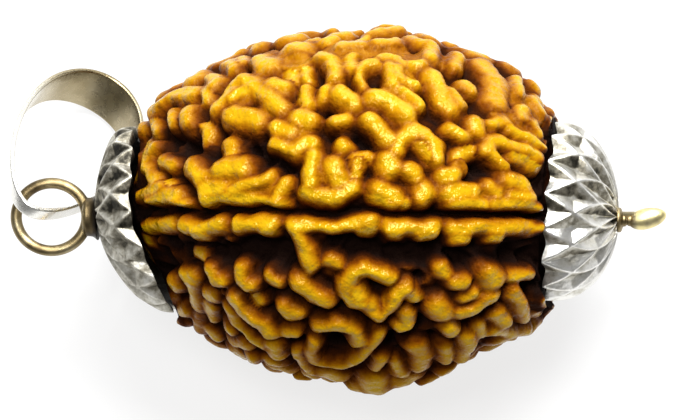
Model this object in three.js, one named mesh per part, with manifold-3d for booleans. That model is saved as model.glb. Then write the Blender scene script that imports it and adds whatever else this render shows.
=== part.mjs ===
// A rudraksha seed strung as a pendant: the seed, a silver petal cap on each end, a silver
// headed pin through its bore with an eye at one end, and a tapered bail ring in that eye.
// Millimetres, Z up. X runs along the pin, from the eye to the ball head. The seed lies on a
// small flat spot of its belly, and the origin is the middle of that spot. Its face line looks
// up and a little toward -Y, so the pieces are laid out in a face frame (X along the pin,
// Y across, Z out of the face) that is then turned about X by LAY_ANGLE.

import * as THREE from "three";
import { mergeVertices } from "three/addons/utils/BufferGeometryUtils.js";
import Module from "manifold-3d";

// Driving dimensions

const SEED_RADIUS = 13.4;         // over the crowns of the ridges
const SEED_HALF_LENGTH = 18.0;
const SEED_MIDDLE_X = 0.6;
const BORE_OFFSET = 0.9;          // the bore runs this far below the seed's own middle line
const RELIEF_DEPTH = 2.3;         // from the crowns to the floor of the crevices
const RIDGE_FLANK = 0.45;         // how far a ridge's foot reaches past its half width
const TISSUE_RISE = 1.3;          // lumpy tissue that fills the room between the ridges
const FILL_SHARE = 0.72;          // of the crowns' height, where tissue fills a place
const FACE_LINES = 3;             // furrows from end to end, evenly spaced round the seed
const FACE_LINE_Y = 0.38;         // the line of the face that looks up: y where x is 0,
const FACE_LINE_SLOPE = -0.022;   // and its climb along the pin
const FURROW_HALF = 0.18;
const BORE_RADIUS = 0.8;
const SEED_AROUND = 104;
const SEED_OPEN_RINGS = 46;       // rings between the caps
const SEED_OPEN_ANGLE = 1.14;     // the stretch between the caps, as an angle of the seed's ellipse
const SEED_CAPPED_RINGS = [1.46, 1.34, 1.22];
const SEED_END_HEIGHT = -0.8;     // of the seed's smooth ends under the caps
const REST_CUT = 0.3;             // depth of the flat spot that the seed rests on
const REST_RING = [3.4, 2.5];     // half axes of the oval ridge that it stands on
const REST_MIDDLE_X = -0.45;      // below the centre of mass
const REST_PROUD = 0.2;           // how far the crowns of the resting ridges stand out
const LAY_ANGLE = THREE.MathUtils.degToRad(15);
const FACE_TURN = THREE.MathUtils.degToRad(6);  // the face is described as seen from this far
                                                // toward the ball head
const WIRE_RADIUS = 0.41;
const EYE_RADIUS = 2.54;
const EYE_STRETCH = 1.055;        // the eye is this many times as long along the pin as across
const EYE_X = -22.57;
const DROP_RADIUS = 0.78;         // the melted drop at the other end of the pin
const DROP_HALF_LENGTH = 1.45;
const DROP_TURN = THREE.MathUtils.degToRad(13);
const HEAD_SAG = 0.22;            // how far the collars beside the drop lie off the pin's middle
const SHEET = 0.8;                // thickness of the caps at their ribs
const GAP = 0.3;                  // room between neighbours that touch

// Each cap's rim leans over by tilt below the pin and up to bend above it, its upper end curls
// out by curl, the middle of the rim lies off the pin by lift, and the whole cap is turned by so
// many petals. Its dome is fuller than an ellipse where fullness is over 2.
const EYE_CAP = {
  rimX: -15.8, side: -1, radius: 6.98, depth: 3.25, fullness: 2.35,
  tilt: 0.33, bend: 0.6, curl: 0.8, lift: -0.22, turn: 0.24,
};
const HEAD_CAP = {
  rimX: 15.4, side: 1, radius: 6.8, depth: 4.8, fullness: 2.15,
  tilt: -0.065, bend: 20, curl: 0, lift: 0.45, turn: 0.5,
};
const PETALS = 16;
const CAP_DISH = 0.5;             // depth of the diamonds between a cap's ribs
const CAP_TIP = 0.25;             // reach of the petal tips past the rim
const CAP_ROWS_PER_PETAL = 4;
const CAP_PETAL_ROWS = 1.5;       // petal lengths from a cap's hole to its rim
const CAP_ROW_GROWTH = 0.8;       // below 1, the petals get shorter toward the rim
const RIM_SHELF = 1.9;            // the seed is flat this far in from the edge of a cap

const BAIL_HALF_WIDTH = 4.4;
const BAIL_LENGTH = 18.59;
const BAIL_EGG = 0.234;           // how much narrower the bail is at the eye than at its top
const BAIL_STRIP_EYE = 1.05;
const BAIL_STRIP_TOP = 3.57;
const BAIL_TAPER = 3.7;
const BAIL_THICKNESS = 0.4;
const BAIL_HOOK = [-24.149, 0.594, 1.747];     // middle of the strip inside the eye
const BAIL_AXIS = [0.506, 0.706, 0.504];       // across the strip
const BAIL_RISE = [0.207, 0.468, -0.85];       // from the hook to the top of the bail

// Where the seed's outline swells out or falls in, as [amount, spread, x, y] at its edge seen
// from above the face
const SWELLS = [
  [0.4, 3, -13, 9.5], [0.5, 1.6, 4.2, 14.2], [0.5, 2.5, 11.3, 11.8], [0.4, 1.6, 13.2, 10.4],
  [1.2, 2.6, -11.3, -8.8], [0.5, 2.8, 6, -12.2], [0.3, 1.2, 2.6, -12.8], [-0.8, 1.5, 10, -10],
  [0.3, 1.2, 13.2, -8.7], [-0.7, 1.3, 15.2, -7],
  [0.4, 1.8, -6.5, 12.6], [0.4, 1.3, -15.1, 7.6], [0.5, 1.6, -10.2, -9.3], [-0.4, 1.3, 10.8, -9.9],
  [0.7, 2, 1.6, -12.6], [0.6, 1.4, -12.8, -7.4],
];

const axisHeight = SEED_RADIUS - REST_CUT - BORE_OFFSET * Math.sin(LAY_ANGLE);
const axisY = -BORE_OFFSET * Math.cos(LAY_ANGLE);

const wasm = await Module();
wasm.setup();

// Ridges of the face that looks up. Each is [half width, drop of its crown, path], and a path
// is a run of [along the pin, across it] points as seen from straight above the face.

const FACE_RIDGES = [
  // upper lip of the face line
  [0.5, 0, [[-16.4, 1.4], [-15.2, 1.9], [-14.5, 2.1]]],
  [0.6, 0, [[-15.2, 0.9], [-14, 1.5], [-13.2, 1.6]]],
  [0.4, 0, [[-13.6, 0.8], [-12.5, 0.9]]],
  [0.8, 0, [[-10.9, 2.1], [-9.8, 2]]],
  [0.5, 0.1, [[-10.9, 1.4], [-8.8, 1.4], [-7, 1.2], [-5.2, 1]]],
  [0.5, 0, [[-8.9, 1.8], [-7.4, 2.6], [-6.2, 3.1]]],
  [0.45, 0, [[-5.6, 1.3], [-4.9, 2.6]]],
  [0.6, 0, [[-2.7, 4.6], [-2.9, 3.6], [-2.8, 2.6]]],
  [0.7, 0, [[-1.2, 4], [-0.9, 2.9]]],
  [0.5, 0, [[-3.2, 1.8], [-2, 1.7], [-0.6, 1.6], [0.2, 2.2]]],
  [0.35, 0.4, [[0.5, 4.2], [0.3, 3.2]]],
  [0.8, 0, [[2.1, 2.1], [3.3, 1.6]]],
  [0.6, 0.1, [[1.9, 1.4], [2.7, 1.2]]],
  [0.5, 0.1, [[3.4, 1.6], [3.8, 1.2]]],
  [0.85, 0, [[5.3, 1.6], [5.7, 2]]],
  [0.6, 0, [[7.4, 1.9], [9.2, 1.9]]],
  [0.4, 0, [[7.6, 1], [8.8, 0.9], [10, 0.9]]],
  [0.5, 0, [[10.4, 2.2], [11, 1.8]]],
  [0.45, 0, [[10.8, 1], [13.3, 0.9], [14.2, 0.6]]],
  [0.35, 0, [[12, 1.6], [13.6, 1.5]]],
  [0.75, 0, [[11.9, 2.7], [13, 2.5]]],
  // lower lip of the face line
  [0.4, 0.3, [[-16, -0.8], [-13.8, -0.7]]],
  [0.6, 0, [[-12.6, -0.7], [-11.4, -0.9], [-9.9, -0.6]]],
  [0.45, 0, [[-11.6, -1.3], [-11.1, -1.3]]],
  [0.55, 0, [[-8.5, -0.6], [-6.9, -0.7], [-5.9, -0.6]]],
  [0.45, 0, [[-6.5, -1.1], [-6, -1.1]]],
  [0.5, 0, [[-4.3, -0.6], [-2.8, -0.6], [-1, -0.6], [0.6, -0.6], [1.3, -0.5]]],
  [0.55, 0, [[-4, -1], [-3.6, -1.9], [-3.4, -2.9], [-2.9, -3.8]]],
  [0.4, 0.1, [[0.9, -1], [1.4, -1]]],
  [0.5, 0, [[2.9, -0.8], [4.2, -0.8], [5.4, -0.9], [6.3, -0.8]]],
  [0.4, 0, [[3.1, -1.2], [3.3, -1.2]]],
  [0.45, 0, [[5.2, -1.4], [6, -1.3]]],
  [0.5, 0, [[7.7, -1], [8.9, -0.9], [10.4, -0.8], [12.2, -0.8], [14.3, -0.9]]],
  [0.5, 0, [[8, -1.6], [8.6, -1.7]]],
  [0.45, 0, [[10.7, -1.5], [11.2, -1.5]]],
  // upper half, eye end
  [0.75, 0, [[-12.1, 3.8], [-11.4, 3.1]]],
  [0.8, 0, [[-9.9, 3.6], [-8.3, 3.8]]],
  [0.6, 0.5, [[-9.4, 5.6], [-9.2, 5.1]]],
  [0.95, 0, [[-8.8, 7.6], [-7.1, 7.2]]],
  [0.75, 0, [[-8.2, 10.4], [-9.2, 9.3], [-10.1, 8.2]]],
  [0.7, 0.1, [[-8.8, 9], [-7.8, 9.4]]],
  [0.7, 0, [[-7.9, 10.3], [-7, 9.7], [-6, 8.8], [-5.3, 8.2]]],
  [0.7, 0, [[-10.6, 10.6], [-10.3, 10.2]]],
  [0.45, 0.3, [[-11.1, 9.7], [-11, 9]]],
  [0.65, 0, [[-9.2, 11.7], [-8.9, 11.3]]],
  [0.45, 0.2, [[-8.2, 12.2], [-8, 11.9]]],
  [1.05, 0, [[-6.7, 12], [-6.2, 11.4]]],
  [0.6, 0, [[-5.8, 10.1], [-5.1, 10]]],
  [0.95, 0, [[-4.5, 12.8], [-3.6, 12.9]]],
  [0.45, 0.6, [[-4.6, 11.5], [-4.4, 10.7]]],
  [0.45, 0.6, [[-3.5, 11.6], [-3.3, 10.7]]],
  [0.7, 0, [[-14.9, 8], [-14, 8.8]]],
  [0.75, 0, [[-13.2, 9.3], [-12.1, 9.4]]],
  [0.75, 0, [[-12.3, 8], [-12.3, 7.2]]],
  [0.45, 0.2, [[-13.8, 8], [-13.6, 7.2]]],
  [0.5, 0.5, [[-15.2, 7.2], [-15.1, 6.7]]],
  [0.35, 0.7, [[-15.7, 5.7], [-15.6, 5.5]]],
  [0.5, 0, [[-14.9, 5.4], [-15.5, 4.7], [-15.6, 3.8], [-15.2, 3], [-14.9, 2.7]]],
  [0.55, 0.1, [[-14.3, 4.2], [-13.7, 3.9]]],
  [0.3, 0.5, [[-14.1, 2.5], [-13.8, 2.4]]],
  [0.5, 0.6, [[-11.3, 7.1], [-11.1, 6.2]]],
  // upper half, middle
  [0.75, 0, [[-5.5, 6.7], [-4.7, 6.5]]],
  [0.5, 0, [[-5.8, 5.5], [-4.9, 5.1], [-4, 4.8]]],
  [0.6, 0, [[-4, 4.9], [-3.3, 5.5], [-2.8, 5.6]]],
  [0.8, 0, [[-3.8, 7.6], [-3.2, 7.4]]],
  [0.55, 0, [[-1, 7.4], [-0.5, 7.4]]],
  [0.5, 0.3, [[-0.6, 5.7], [-0.4, 5.5]]],
  [0.5, 0.5, [[0.5, 4.6], [1.1, 4.7]]],
  [0.6, 0, [[-1.8, 13.4], [-1.2, 13.5]]],
  [0.65, 0, [[-2.3, 12.3], [-1.6, 11.9], [-1.2, 11.2], [-1.3, 10.5]]],
  [0.6, 0, [[-0.9, 9.4], [0.1, 8.9], [0.3, 8.6]]],
  [0.4, 0.2, [[-2, 9.6], [-2.1, 9.2]]],
  [0.4, 0, [[2, 11.6], [1.2, 11.5], [0.7, 11], [0.6, 10.4], [0.9, 9.9]]],
  [0.6, 0, [[-0.6, 12.9], [0.8, 13]]],
  [0.5, 0.1, [[0.1, 12.1], [0, 11.2]]],
  [0.4, 0, [[2.4, 12], [3, 12.1], [3.8, 11.9], [4.2, 11.5]]],
  [0.45, 0, [[3.1, 11.5], [3.1, 10.8], [3.2, 10]]],
  [0.4, 0, [[3.7, 11.2], [3.8, 10.4]]],
  [0.7, 0, [[2.2, 13.1], [3.4, 13.2]]],
  [0.6, 0, [[1.7, 13.9], [3.6, 14]]],
  [0.75, 0, [[4.7, 13.4], [5.5, 13]]],
  [0.85, 0, [[2, 9.1], [2.8, 8.8], [3.9, 8.1], [4.2, 7.7]]],
  [0.35, 0, [[3.9, 9.6], [4.7, 9], [5.3, 8.3]]],
  [0.45, 0, [[4.5, 10.3], [4.9, 10.1]]],
  [0.5, 0, [[4.9, 11.4], [5.4, 11.5]]],
  [0.65, 0, [[1.3, 7.4], [2, 6.7], [2.6, 6]]],
  [0.65, 0, [[3.4, 5.2], [3.7, 5.9], [4.4, 6.4], [5.1, 6.5], [5.9, 6.1], [6.4, 5.4], [6.6, 4.6]]],
  [0.8, 0.3, [[5.5, 5.6], [6, 4.9]]],
  [0.95, 0, [[2.7, 4.2], [2.9, 3.8]]],
  [0.65, 0, [[4.4, 3.6], [4.9, 3.3]]],
  // upper half, head end
  [0.7, 0, [[6.4, 10.8], [6.7, 9.6], [7.1, 8.6], [7.5, 8]]],
  [0.45, 0, [[7.7, 9.5], [8.2, 8.6]]],
  [0.55, 0, [[8.7, 10.1], [9.2, 9.6]]],
  [0.65, 0, [[8, 12.2], [8, 11.4]]],
  [0.75, 0, [[6, 12.8], [6, 12]]],
  [1.2, 0, [[9.9, 11.3], [10.8, 10.4], [10.9, 8.8]]],
  [0.45, 0, [[12.4, 10.2], [12.6, 9.4]]],
  [0.5, 0, [[13.5, 9.8], [13.7, 9.4]]],
  [0.55, 0, [[13, 8.2], [12.9, 7.7]]],
  [0.5, 0, [[13.8, 8.7], [14.3, 8.1]]],
  [0.45, 0.2, [[10.6, 7.1], [11.7, 7.3]]],
  [0.6, 0, [[13.8, 7], [14.2, 6.5]]],
  [0.5, 0, [[15.1, 7.5], [15.3, 7]]],
  [0.4, 0, [[11.9, 6.8], [12.8, 6.2], [13.8, 5.8], [14.5, 5.4]]],
  [0.45, 0, [[10, 5.2], [10.5, 5.7], [11.2, 5.8], [12.3, 5.4], [13.4, 5], [14.2, 4.5]]],
  [0.7, 0.3, [[12.4, 4.8], [13.3, 4.6], [14.1, 4.2]]],
  [0.45, 0, [[10.5, 5], [11, 4.5], [11.5, 3.9]]],
  [0.6, 0, [[9.4, 7.2], [9.5, 6.7]]],
  [0.55, 0.1, [[7.7, 6.6], [8.5, 6.1]]],
  [0.6, 0.7, [[8.3, 4.6], [9, 5.1]]],
  [0.5, 0, [[7.1, 3.2], [7.8, 3.3]]],
  // lower half, eye end
  [0.7, 0, [[-12.6, -4.6], [-12.1, -4.8]]],
  [0.5, 0.1, [[-12.1, -5.3], [-12, -6.1], [-11.7, -7.1]]],
  [0.45, 1, [[-12, -3], [-11.6, -3.2]]],
  [0.55, 0.2, [[-10.6, -4.3], [-10.3, -4.9], [-9.8, -5]]],
  [0.6, 0.2, [[-10.9, -6.3], [-10.5, -6.4]]],
  [0.5, 0.3, [[-10.8, -7.3], [-10.6, -8.1]]],
  [0.5, 0.1, [[-11.4, -7.8], [-10.9, -8.8], [-10.2, -9.4]]],
  [0.5, 0, [[-8.3, -4], [-8.3, -4.9], [-7.9, -5.4], [-7.5, -5.3]]],
  [0.6, 0, [[-8.8, -6.4], [-8.3, -7.1], [-7.4, -7.8], [-6.7, -8.2], [-6.1, -8.9]]],
  [0.4, 0.3, [[-9.3, -7.3], [-8.9, -8.2], [-8, -9], [-6.9, -9.8]]],
  [0.4, 0.7, [[-7.4, -6.4], [-7.1, -6.8]]],
  [0.5, 0.2, [[-6.2, -4.6], [-5.6, -5]]],
  [0.65, 0, [[-5, -6.9], [-4.6, -7.4], [-4.1, -7.3]]],
  [0.55, 0, [[-4.9, -8.8], [-4.3, -8.8]]],
  [0.7, 0, [[-3.8, -5], [-3.1, -5.5], [-2.1, -6.4]]],
  [0.6, 0.1, [[-6, -9.9], [-5.6, -10.6]]],
  [0.55, 0.2, [[-9, -9.8], [-8, -10.1]]],
  // lower half, middle
  [0.45, 0, [[3, -4.8], [2.2, -4.5], [1.2, -4.1], [0.3, -4.3], [-0.3, -5], [-0.4, -5.8],
    [0, -6.4], [0.7, -6.6]]],
  [0.5, 0.1, [[0.4, -5.6], [0.6, -6]]],
  [0.55, 0, [[1.4, -6.8], [1.8, -7.3], [2.2, -7.6]]],
  [0.45, 0, [[2.5, -7.5], [3.1, -6.8], [3.7, -5.9], [4.2, -5.4]]],
  [0.5, 0.2, [[4.4, -7.6], [4.4, -8.3], [3.7, -8.5]]],
  [0.6, 0, [[-2.4, -8.4], [-1.3, -8.2], [-0.3, -8.3], [0.4, -8.8], [0.7, -9.5]]],
  [0.4, 0, [[-2.8, -9.5], [-3, -10.3], [-2.5, -11], [-1.5, -11.3], [-0.4, -11.2], [0.7, -10.7],
    [1.6, -9.9], [2.2, -9]]],
  [0.4, 0.2, [[-4, -10.4], [-3.6, -11.2], [-3, -11.8]]],
  [0.85, 0.1, [[5, -10], [5.6, -10.7], [5.3, -11.4]]],
  [0.5, 0.2, [[2.4, -10.9], [1.9, -11.7]]],
  [0.5, 0.2, [[3.5, -11.2], [3.9, -11.9]]],
  // lower half, head end
  [0.45, 0.4, [[7, -4], [7.2, -4.4]]],
  [0.5, 0.1, [[7.8, -5.2], [8.5, -5.1]]],
  [0.9, 0, [[6.7, -7], [7, -7.4]]],
  [0.5, 0, [[7.5, -8.5], [7.8, -8.8]]],
  [0.45, 0, [[8.4, -7.4], [9.4, -7.2], [10, -6.8], [10.6, -6.2]]],
  [0.8, 0, [[10.6, -4.4], [10.8, -4.8]]],
  [0.35, 0.3, [[12.1, -4.8], [13.8, -4.6]]],
  [0.5, 0, [[12.2, -6], [12.9, -6.8], [13.3, -7.8]]],
  [0.55, 0.1, [[11.3, -7.6], [11.8, -8.2]]],
  [0.4, 0.1, [[11, -8.9], [12.6, -9], [13.5, -8.7]]],
  [0.5, 0.4, [[9.9, -8.5], [10.1, -9.2]]],
  [0.55, 0, [[8.8, -9.2], [8.9, -10], [8.4, -10.8]]],
  [0.45, 0.1, [[7.3, -10], [7.2, -10.9]]],
];

// Hollows of that face, where the tissue goes down to the floor and no ridge is thrown on, and
// the places where it fills the room between the ridges almost to their crowns. Each is
// [radius, x, y].

const FACE_HOLLOWS = [
  [1.2, -14.5, -3.5], [1, -14.2, -4.8], [0.9, -14.4, -2], [0.7, -12.9, -2.7], [0.7, -10.6, -3],
  [0.9, -9.6, -2.9], [1, -8.3, -2.6], [1, -6.9, -2.9], [1, -5.6, -2.9], [0.6, -4.8, -3.9],
  [0.5, -9.1, -4.3], [0.6, -7.1, -3.9], [0.8, -8.2, -9.2], [0.6, -10.1, -7.8], [0.6, -9.3, -6],
  [0.5, -6.5, -6.2], [0.5, -2.4, -7.6], [1, 0.2, -2.6], [0.9, 1.7, -2.6], [1, 3.2, -3.1],
  [1, 4.6, -3], [0.9, 6, -3], [0.6, -1.3, -2], [0.9, 8.9, -3.8], [0.8, 8.1, -3.2],
  [0.6, 9.2, -4.9], [0.9, 12.6, -3.1], [0.9, 14, -3.4], [1, 13.9, -5.6], [0.5, 9.6, -5.8],
  [0.7, 11.9, -7.2], [0.7, 5.3, -8.4], [0.5, 5.4, -4.9], [0.7, 1.6, -5.3], [0.9, -1.1, -10.1],
  [0.6, 2.4, -9.7], [0.7, 3.2, -10], [0.7, 6.5, -9.8], [0.5, 3.6, -7.8], [1.2, -12.6, 5.5],
  [0.8, -13.8, 6.2], [0.6, -10.3, 6.3], [0.9, -6.6, 5], [0.8, -5.2, 4], [0.6, -7.8, 5.3],
  [0.4, -12, 2.6], [0.4, -14, 3.1], [0.8, 0.7, 5.9], [0.5, 1, 2.3], [0.4, 4.1, 2.7],
  [0.4, 4.6, 4.9], [0.7, 10, 4], [0.6, 14.4, 3.2], [0.5, 2.3, 10.4], [0.4, 5.3, 9.2],
  [0.5, -1.9, 8.4], [0.5, -1.2, 6.6], [0.5, 7.5, 5.4],
];

const FACE_FILLS = [
  [1.6, -8.6, 2.6], [1.4, -6.8, 1.9], [1.2, -10, 3], [1.3, -5.6, 1.6], [1.4, -14.8, 1.7],
  [1.3, -8.4, 8.9], [1.7, -4.2, 12], [1.4, -6.3, 12.6], [1.3, -3.9, 6.1], [1.2, -2.8, 3.2],
  [1.8, -1.3, 12.6], [2, 1, 12.8], [2, 3.4, 12.6], [1.8, 5.4, 12], [1.5, 7.6, 11.8],
  [1.8, 10, 11.4], [2, 12, 9.6], [1.8, 11.5, 8], [1.8, 13.6, 8.2], [1.5, 13.2, 6.6],
  [1.3, 4.4, 10.6], [1, 3.3, 9.9], [1.2, -1.2, 3.2], [0.9, 0.5, 4], [1.2, 3, 1.8],
  [1.1, 5.2, 1.6], [1.4, 8, 1.6], [1.4, 9.8, 1.5], [1.4, 11.6, 1.6], [1.3, 13.2, 1.6],
  [1.1, 7.3, 2.5], [1, 8.3, 3.7], [1, 0.6, -6.3], [1.2, 3.2, -6.6], [1.1, -13.1, -6.9],
  [1, -12.6, -7.6],
];

// Small helpers

function seededRandom(seed) {
  let state = seed;
  return () => {
    state = (state + 0x6d2b79f5) | 0;
    let t = Math.imul(state ^ (state >>> 15), 1 | state);
    t = (t + Math.imul(t ^ (t >>> 7), 61 | t)) ^ t;
    return ((t ^ (t >>> 14)) >>> 0) / 4294967296;
  };
}

function smoothstep(low, high, value) {
  const t = Math.min(Math.max((value - low) / (high - low), 0), 1);
  return t * t * (3 - 2 * t);
}

function geometryFrom(positions, indices) {
  const geometry = new THREE.BufferGeometry();
  geometry.setAttribute("position", new THREE.Float32BufferAttribute(positions, 3));
  geometry.setIndex(indices);
  return geometry;
}

function toSolid(geometry) {
  const bare = geometry.clone();
  bare.deleteAttribute("normal");
  bare.deleteAttribute("uv");
  const merged = mergeVertices(bare, 1e-4);
  return new wasm.Manifold(new wasm.Mesh({
    numProp: 3,
    vertProperties: new Float32Array(merged.attributes.position.array),
    triVerts: new Uint32Array(merged.index.array),
  }));
}

function toGeometry(solid) {
  const mesh = solid.getMesh();
  return geometryFrom(Array.from(mesh.vertProperties), Array.from(mesh.triVerts));
}

function named(name, geometry, colour, roughness, metalness) {
  const material = new THREE.MeshStandardMaterial({ color: colour, roughness, metalness });
  const mesh = new THREE.Mesh(geometry, material);
  mesh.name = name;
  return mesh;
}

// Joins rings of equally many points into triangles. Each four neighbours are split from corner
// to corner the way along which the height changes least, so that ridges run on unbroken.
function joinRings(heights, count, closed) {
  const rings = heights.length / count;
  const indices = [];
  for (let i = 0; i < (closed ? rings : rings - 1); i += 1) {
    for (let j = 0; j < count; j += 1) {
      const a = i * count + j;
      const b = i * count + ((j + 1) % count);
      const c = ((i + 1) % rings) * count + j;
      const d = ((i + 1) % rings) * count + ((j + 1) % count);
      if (Math.abs(heights[a] - heights[d]) < Math.abs(heights[b] - heights[c])) {
        indices.push(a, c, d, a, d, b);
      } else {
        indices.push(a, c, b, b, c, d);
      }
    }
  }
  return indices;
}

function turnOver(indices) {
  for (let i = 0; i < indices.length; i += 3) {
    [indices[i + 1], indices[i + 2]] = [indices[i + 2], indices[i + 1]];
  }
  return indices;
}

// Caps: where a cap's metal lies at a distance r from its own middle line

function rimLean(cap, y) {
  const bent = y < 0 ? y : cap.bend * Math.tanh(y / cap.bend);
  return cap.tilt * bent + cap.curl * smoothstep(4, 9, y);
}

function capSurfaceX(cap, y, r, inset) {
  const rho = Math.min(r / (cap.radius - inset), 1);
  const dome = (cap.depth - inset) * Math.sqrt(1 - Math.pow(rho, cap.fullness));
  return cap.rimX + cap.side * dome - rimLean(cap, y) * Math.pow(Math.min(r / cap.radius, 1), 0.6);
}

// How far a cap's middle line lies above the pin at x
function capLift(cap, x) {
  const fromTop = (cap.side * (cap.rimX - x)) / cap.depth + 1;
  return cap.lift * Math.min(Math.max(fromTop, 0), 1);
}

// Seed: its outer form, in the face frame. t runs from end to end, theta from the face to +Y.

function seedPoint(t, theta, height) {
  const radius = (SEED_RADIUS + height) * Math.cos(t);
  const along = (SEED_HALF_LENGTH + height) * Math.sin(t);
  const y = radius * Math.sin(theta) + BORE_OFFSET * Math.cos(t) ** 2;
  const z = radius * Math.cos(theta);
  return [SEED_MIDDLE_X + along - rimLean(EYE_CAP, y) * smoothstep(6, 15, -along), y, z];
}

function swellAt(p) {
  let sum = 0;
  for (const [amount, spread, x, y] of SWELLS) {
    const away2 = (p[0] - x) ** 2 + (p[1] - y) ** 2 + p[2] ** 2;
    sum += amount * Math.exp(-away2 / (2 * spread * spread));
  }
  return sum;
}

// Puts a point that is drawn on the face, seen from above it, on the seed's outer form.
function faceToSeed([seenX, seenY]) {
  let x = seenX;
  let z = 0;
  for (let pass = 0; pass < 6; pass += 1) {
    const endLean = rimLean(EYE_CAP, seenY) * smoothstep(6, 15, -(x - SEED_MIDDLE_X));
    const sine = (x + endLean - SEED_MIDDLE_X) / SEED_HALF_LENGTH;
    const cosine2 = Math.max(1 - sine * sine, 0);
    const y = seenY - BORE_OFFSET * cosine2;
    z = Math.sqrt(Math.max(SEED_RADIUS ** 2 * cosine2 - y * y, 0));
    x = (seenX + z * Math.sin(FACE_TURN)) / Math.cos(FACE_TURN);
  }
  return [x, seenY, z];
}

function distanceTo(p, q) {
  return Math.hypot(p[0] - q[0], p[1] - q[1], p[2] - q[2]);
}

function distanceToPath(p, path) {
  let best = Infinity;
  for (let i = 0; i < path.length - 1; i += 1) {
    const a = path[i];
    const b = path[i + 1];
    const ab = [b[0] - a[0], b[1] - a[1], b[2] - a[2]];
    const ap = [p[0] - a[0], p[1] - a[1], p[2] - a[2]];
    const length2 = ab[0] ** 2 + ab[1] ** 2 + ab[2] ** 2;
    const dot = ab[0] * ap[0] + ab[1] * ap[1] + ab[2] * ap[2];
    const s = length2 > 0 ? Math.min(Math.max(dot / length2, 0), 1) : 0;
    best = Math.min(best, Math.hypot(ap[0] - s * ab[0], ap[1] - s * ab[1], ap[2] - s * ab[2]));
  }
  return best;
}

// How far across the seed a point lies from the nearest face line
function distanceToFurrow(p, t, theta) {
  const turn = (2 * Math.PI) / FACE_LINES;
  const line = Math.round(theta / turn);
  if (line % FACE_LINES === 0) {
    return Math.abs(p[1] - FACE_LINE_Y - FACE_LINE_SLOPE * p[0]);
  }
  return Math.abs(theta - line * turn) * SEED_RADIUS * Math.cos(t);
}

// Lays the ridges that the face list doesn't draw: lips along the hidden face lines, an oval
// ridge and a knob where the seed rests, and short bent ridges thrown on wherever there is still
// room. Then it lays the hollows and the filled places between the ridges of the hidden side.
function layRelief() {
  const ridges = FACE_RIDGES.map(([half, drop, path]) => ({ half, drop, path: path.map(faceToSeed) }));
  const spot = ([radius, x, y]) => ({ radius, middle: faceToSeed([x, y]) });
  const hollows = FACE_HOLLOWS.map(spot);
  const fills = FACE_FILLS.map(spot);
  const random = seededRandom(20);
  const room = (p, half, gap) => ridges.every(
    (other) => distanceToPath(p, other.path) > other.half + half + gap)
    && hollows.every(({ radius, middle }) => distanceTo(p, middle) > radius + half);

  for (let line = 1; line < FACE_LINES; line += 1) {
    for (const side of [-1, 1]) {
      let along = -0.98;
      while (along < 0.95) {
        const length = 0.13 + 0.2 * random();
        const half = 0.5 + 0.25 * random();
        const path = [0, 0.5, 1].map((part) => {
          const t = along + part * length;
          const across = side * (FURROW_HALF + half + 0.25 * random());
          const theta = (line * 2 * Math.PI) / FACE_LINES + across / (SEED_RADIUS * Math.cos(t));
          return seedPoint(t, theta, 0);
        });
        ridges.push({ half, drop: 0.1 * random(), path });
        along += length + 0.075;
      }
    }
  }

  const restTheta = Math.PI + LAY_ANGLE;
  const restT = Math.asin((REST_MIDDLE_X - SEED_MIDDLE_X) / SEED_HALF_LENGTH);
  const ring = [];
  for (let i = 0; i <= 12; i += 1) {
    const turn = (2 * Math.PI * i) / 12;
    const t = restT + (REST_RING[0] * Math.cos(turn)) / SEED_HALF_LENGTH;
    ring.push(seedPoint(t, restTheta + (REST_RING[1] * Math.sin(turn)) / SEED_RADIUS, 0));
  }
  const knob = [seedPoint(restT - 0.03, restTheta, 0), seedPoint(restT + 0.03, restTheta, 0)];
  ridges.push({ half: 0.8, drop: -REST_PROUD, path: ring });
  ridges.push({ half: 0.9, drop: -REST_PROUD, path: knob });

  for (const half of [0.95, 0.8, 0.65, 0.5, 0.4]) {
    for (let attempt = 0; attempt < 900; attempt += 1) {
      let t = Math.asin(2 * random() - 1) * 0.98;
      let theta = 2 * Math.PI * random();
      let heading = 2 * Math.PI * random();
      const steps = Math.floor(5 * random());
      const bend = 1.6 * (random() - 0.5);
      const drop = 0.35 * random();
      const start = seedPoint(t, theta, 0);
      if (distanceToFurrow(start, t, theta) < FURROW_HALF + half + 1.2 || !room(start, half, 0.3)) {
        continue;
      }
      const path = [start];
      for (let step = 0; step < steps; step += 1) {
        t += (0.75 * Math.cos(heading)) / SEED_HALF_LENGTH;
        theta += (0.75 * Math.sin(heading)) / (SEED_RADIUS * Math.max(Math.cos(t), 0.2));
        heading += bend;
        const next = seedPoint(t, theta, 0);
        if (distanceToFurrow(next, t, theta) < FURROW_HALF + half + 0.6 || !room(next, half, 0.2)) {
          break;
        }
        path.push(next);
      }
      if (path.length === 1) {
        path.push(seedPoint(t + 0.01, theta, 0));
      }
      ridges.push({ half, drop, path });
    }
  }

  for (let i = 0; i < 180; i += 1) {
    const t = Math.asin(2 * random() - 1) * 0.9;
    const theta = 2 * Math.PI * random();
    const radius = 0.7 + 0.7 * random();
    if (Math.cos(theta) < -0.1) {
      (i < 90 ? hollows : fills).push({ radius, middle: seedPoint(t, theta, 0) });
    }
  }
  return { ridges, hollows, fills };
}

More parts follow.
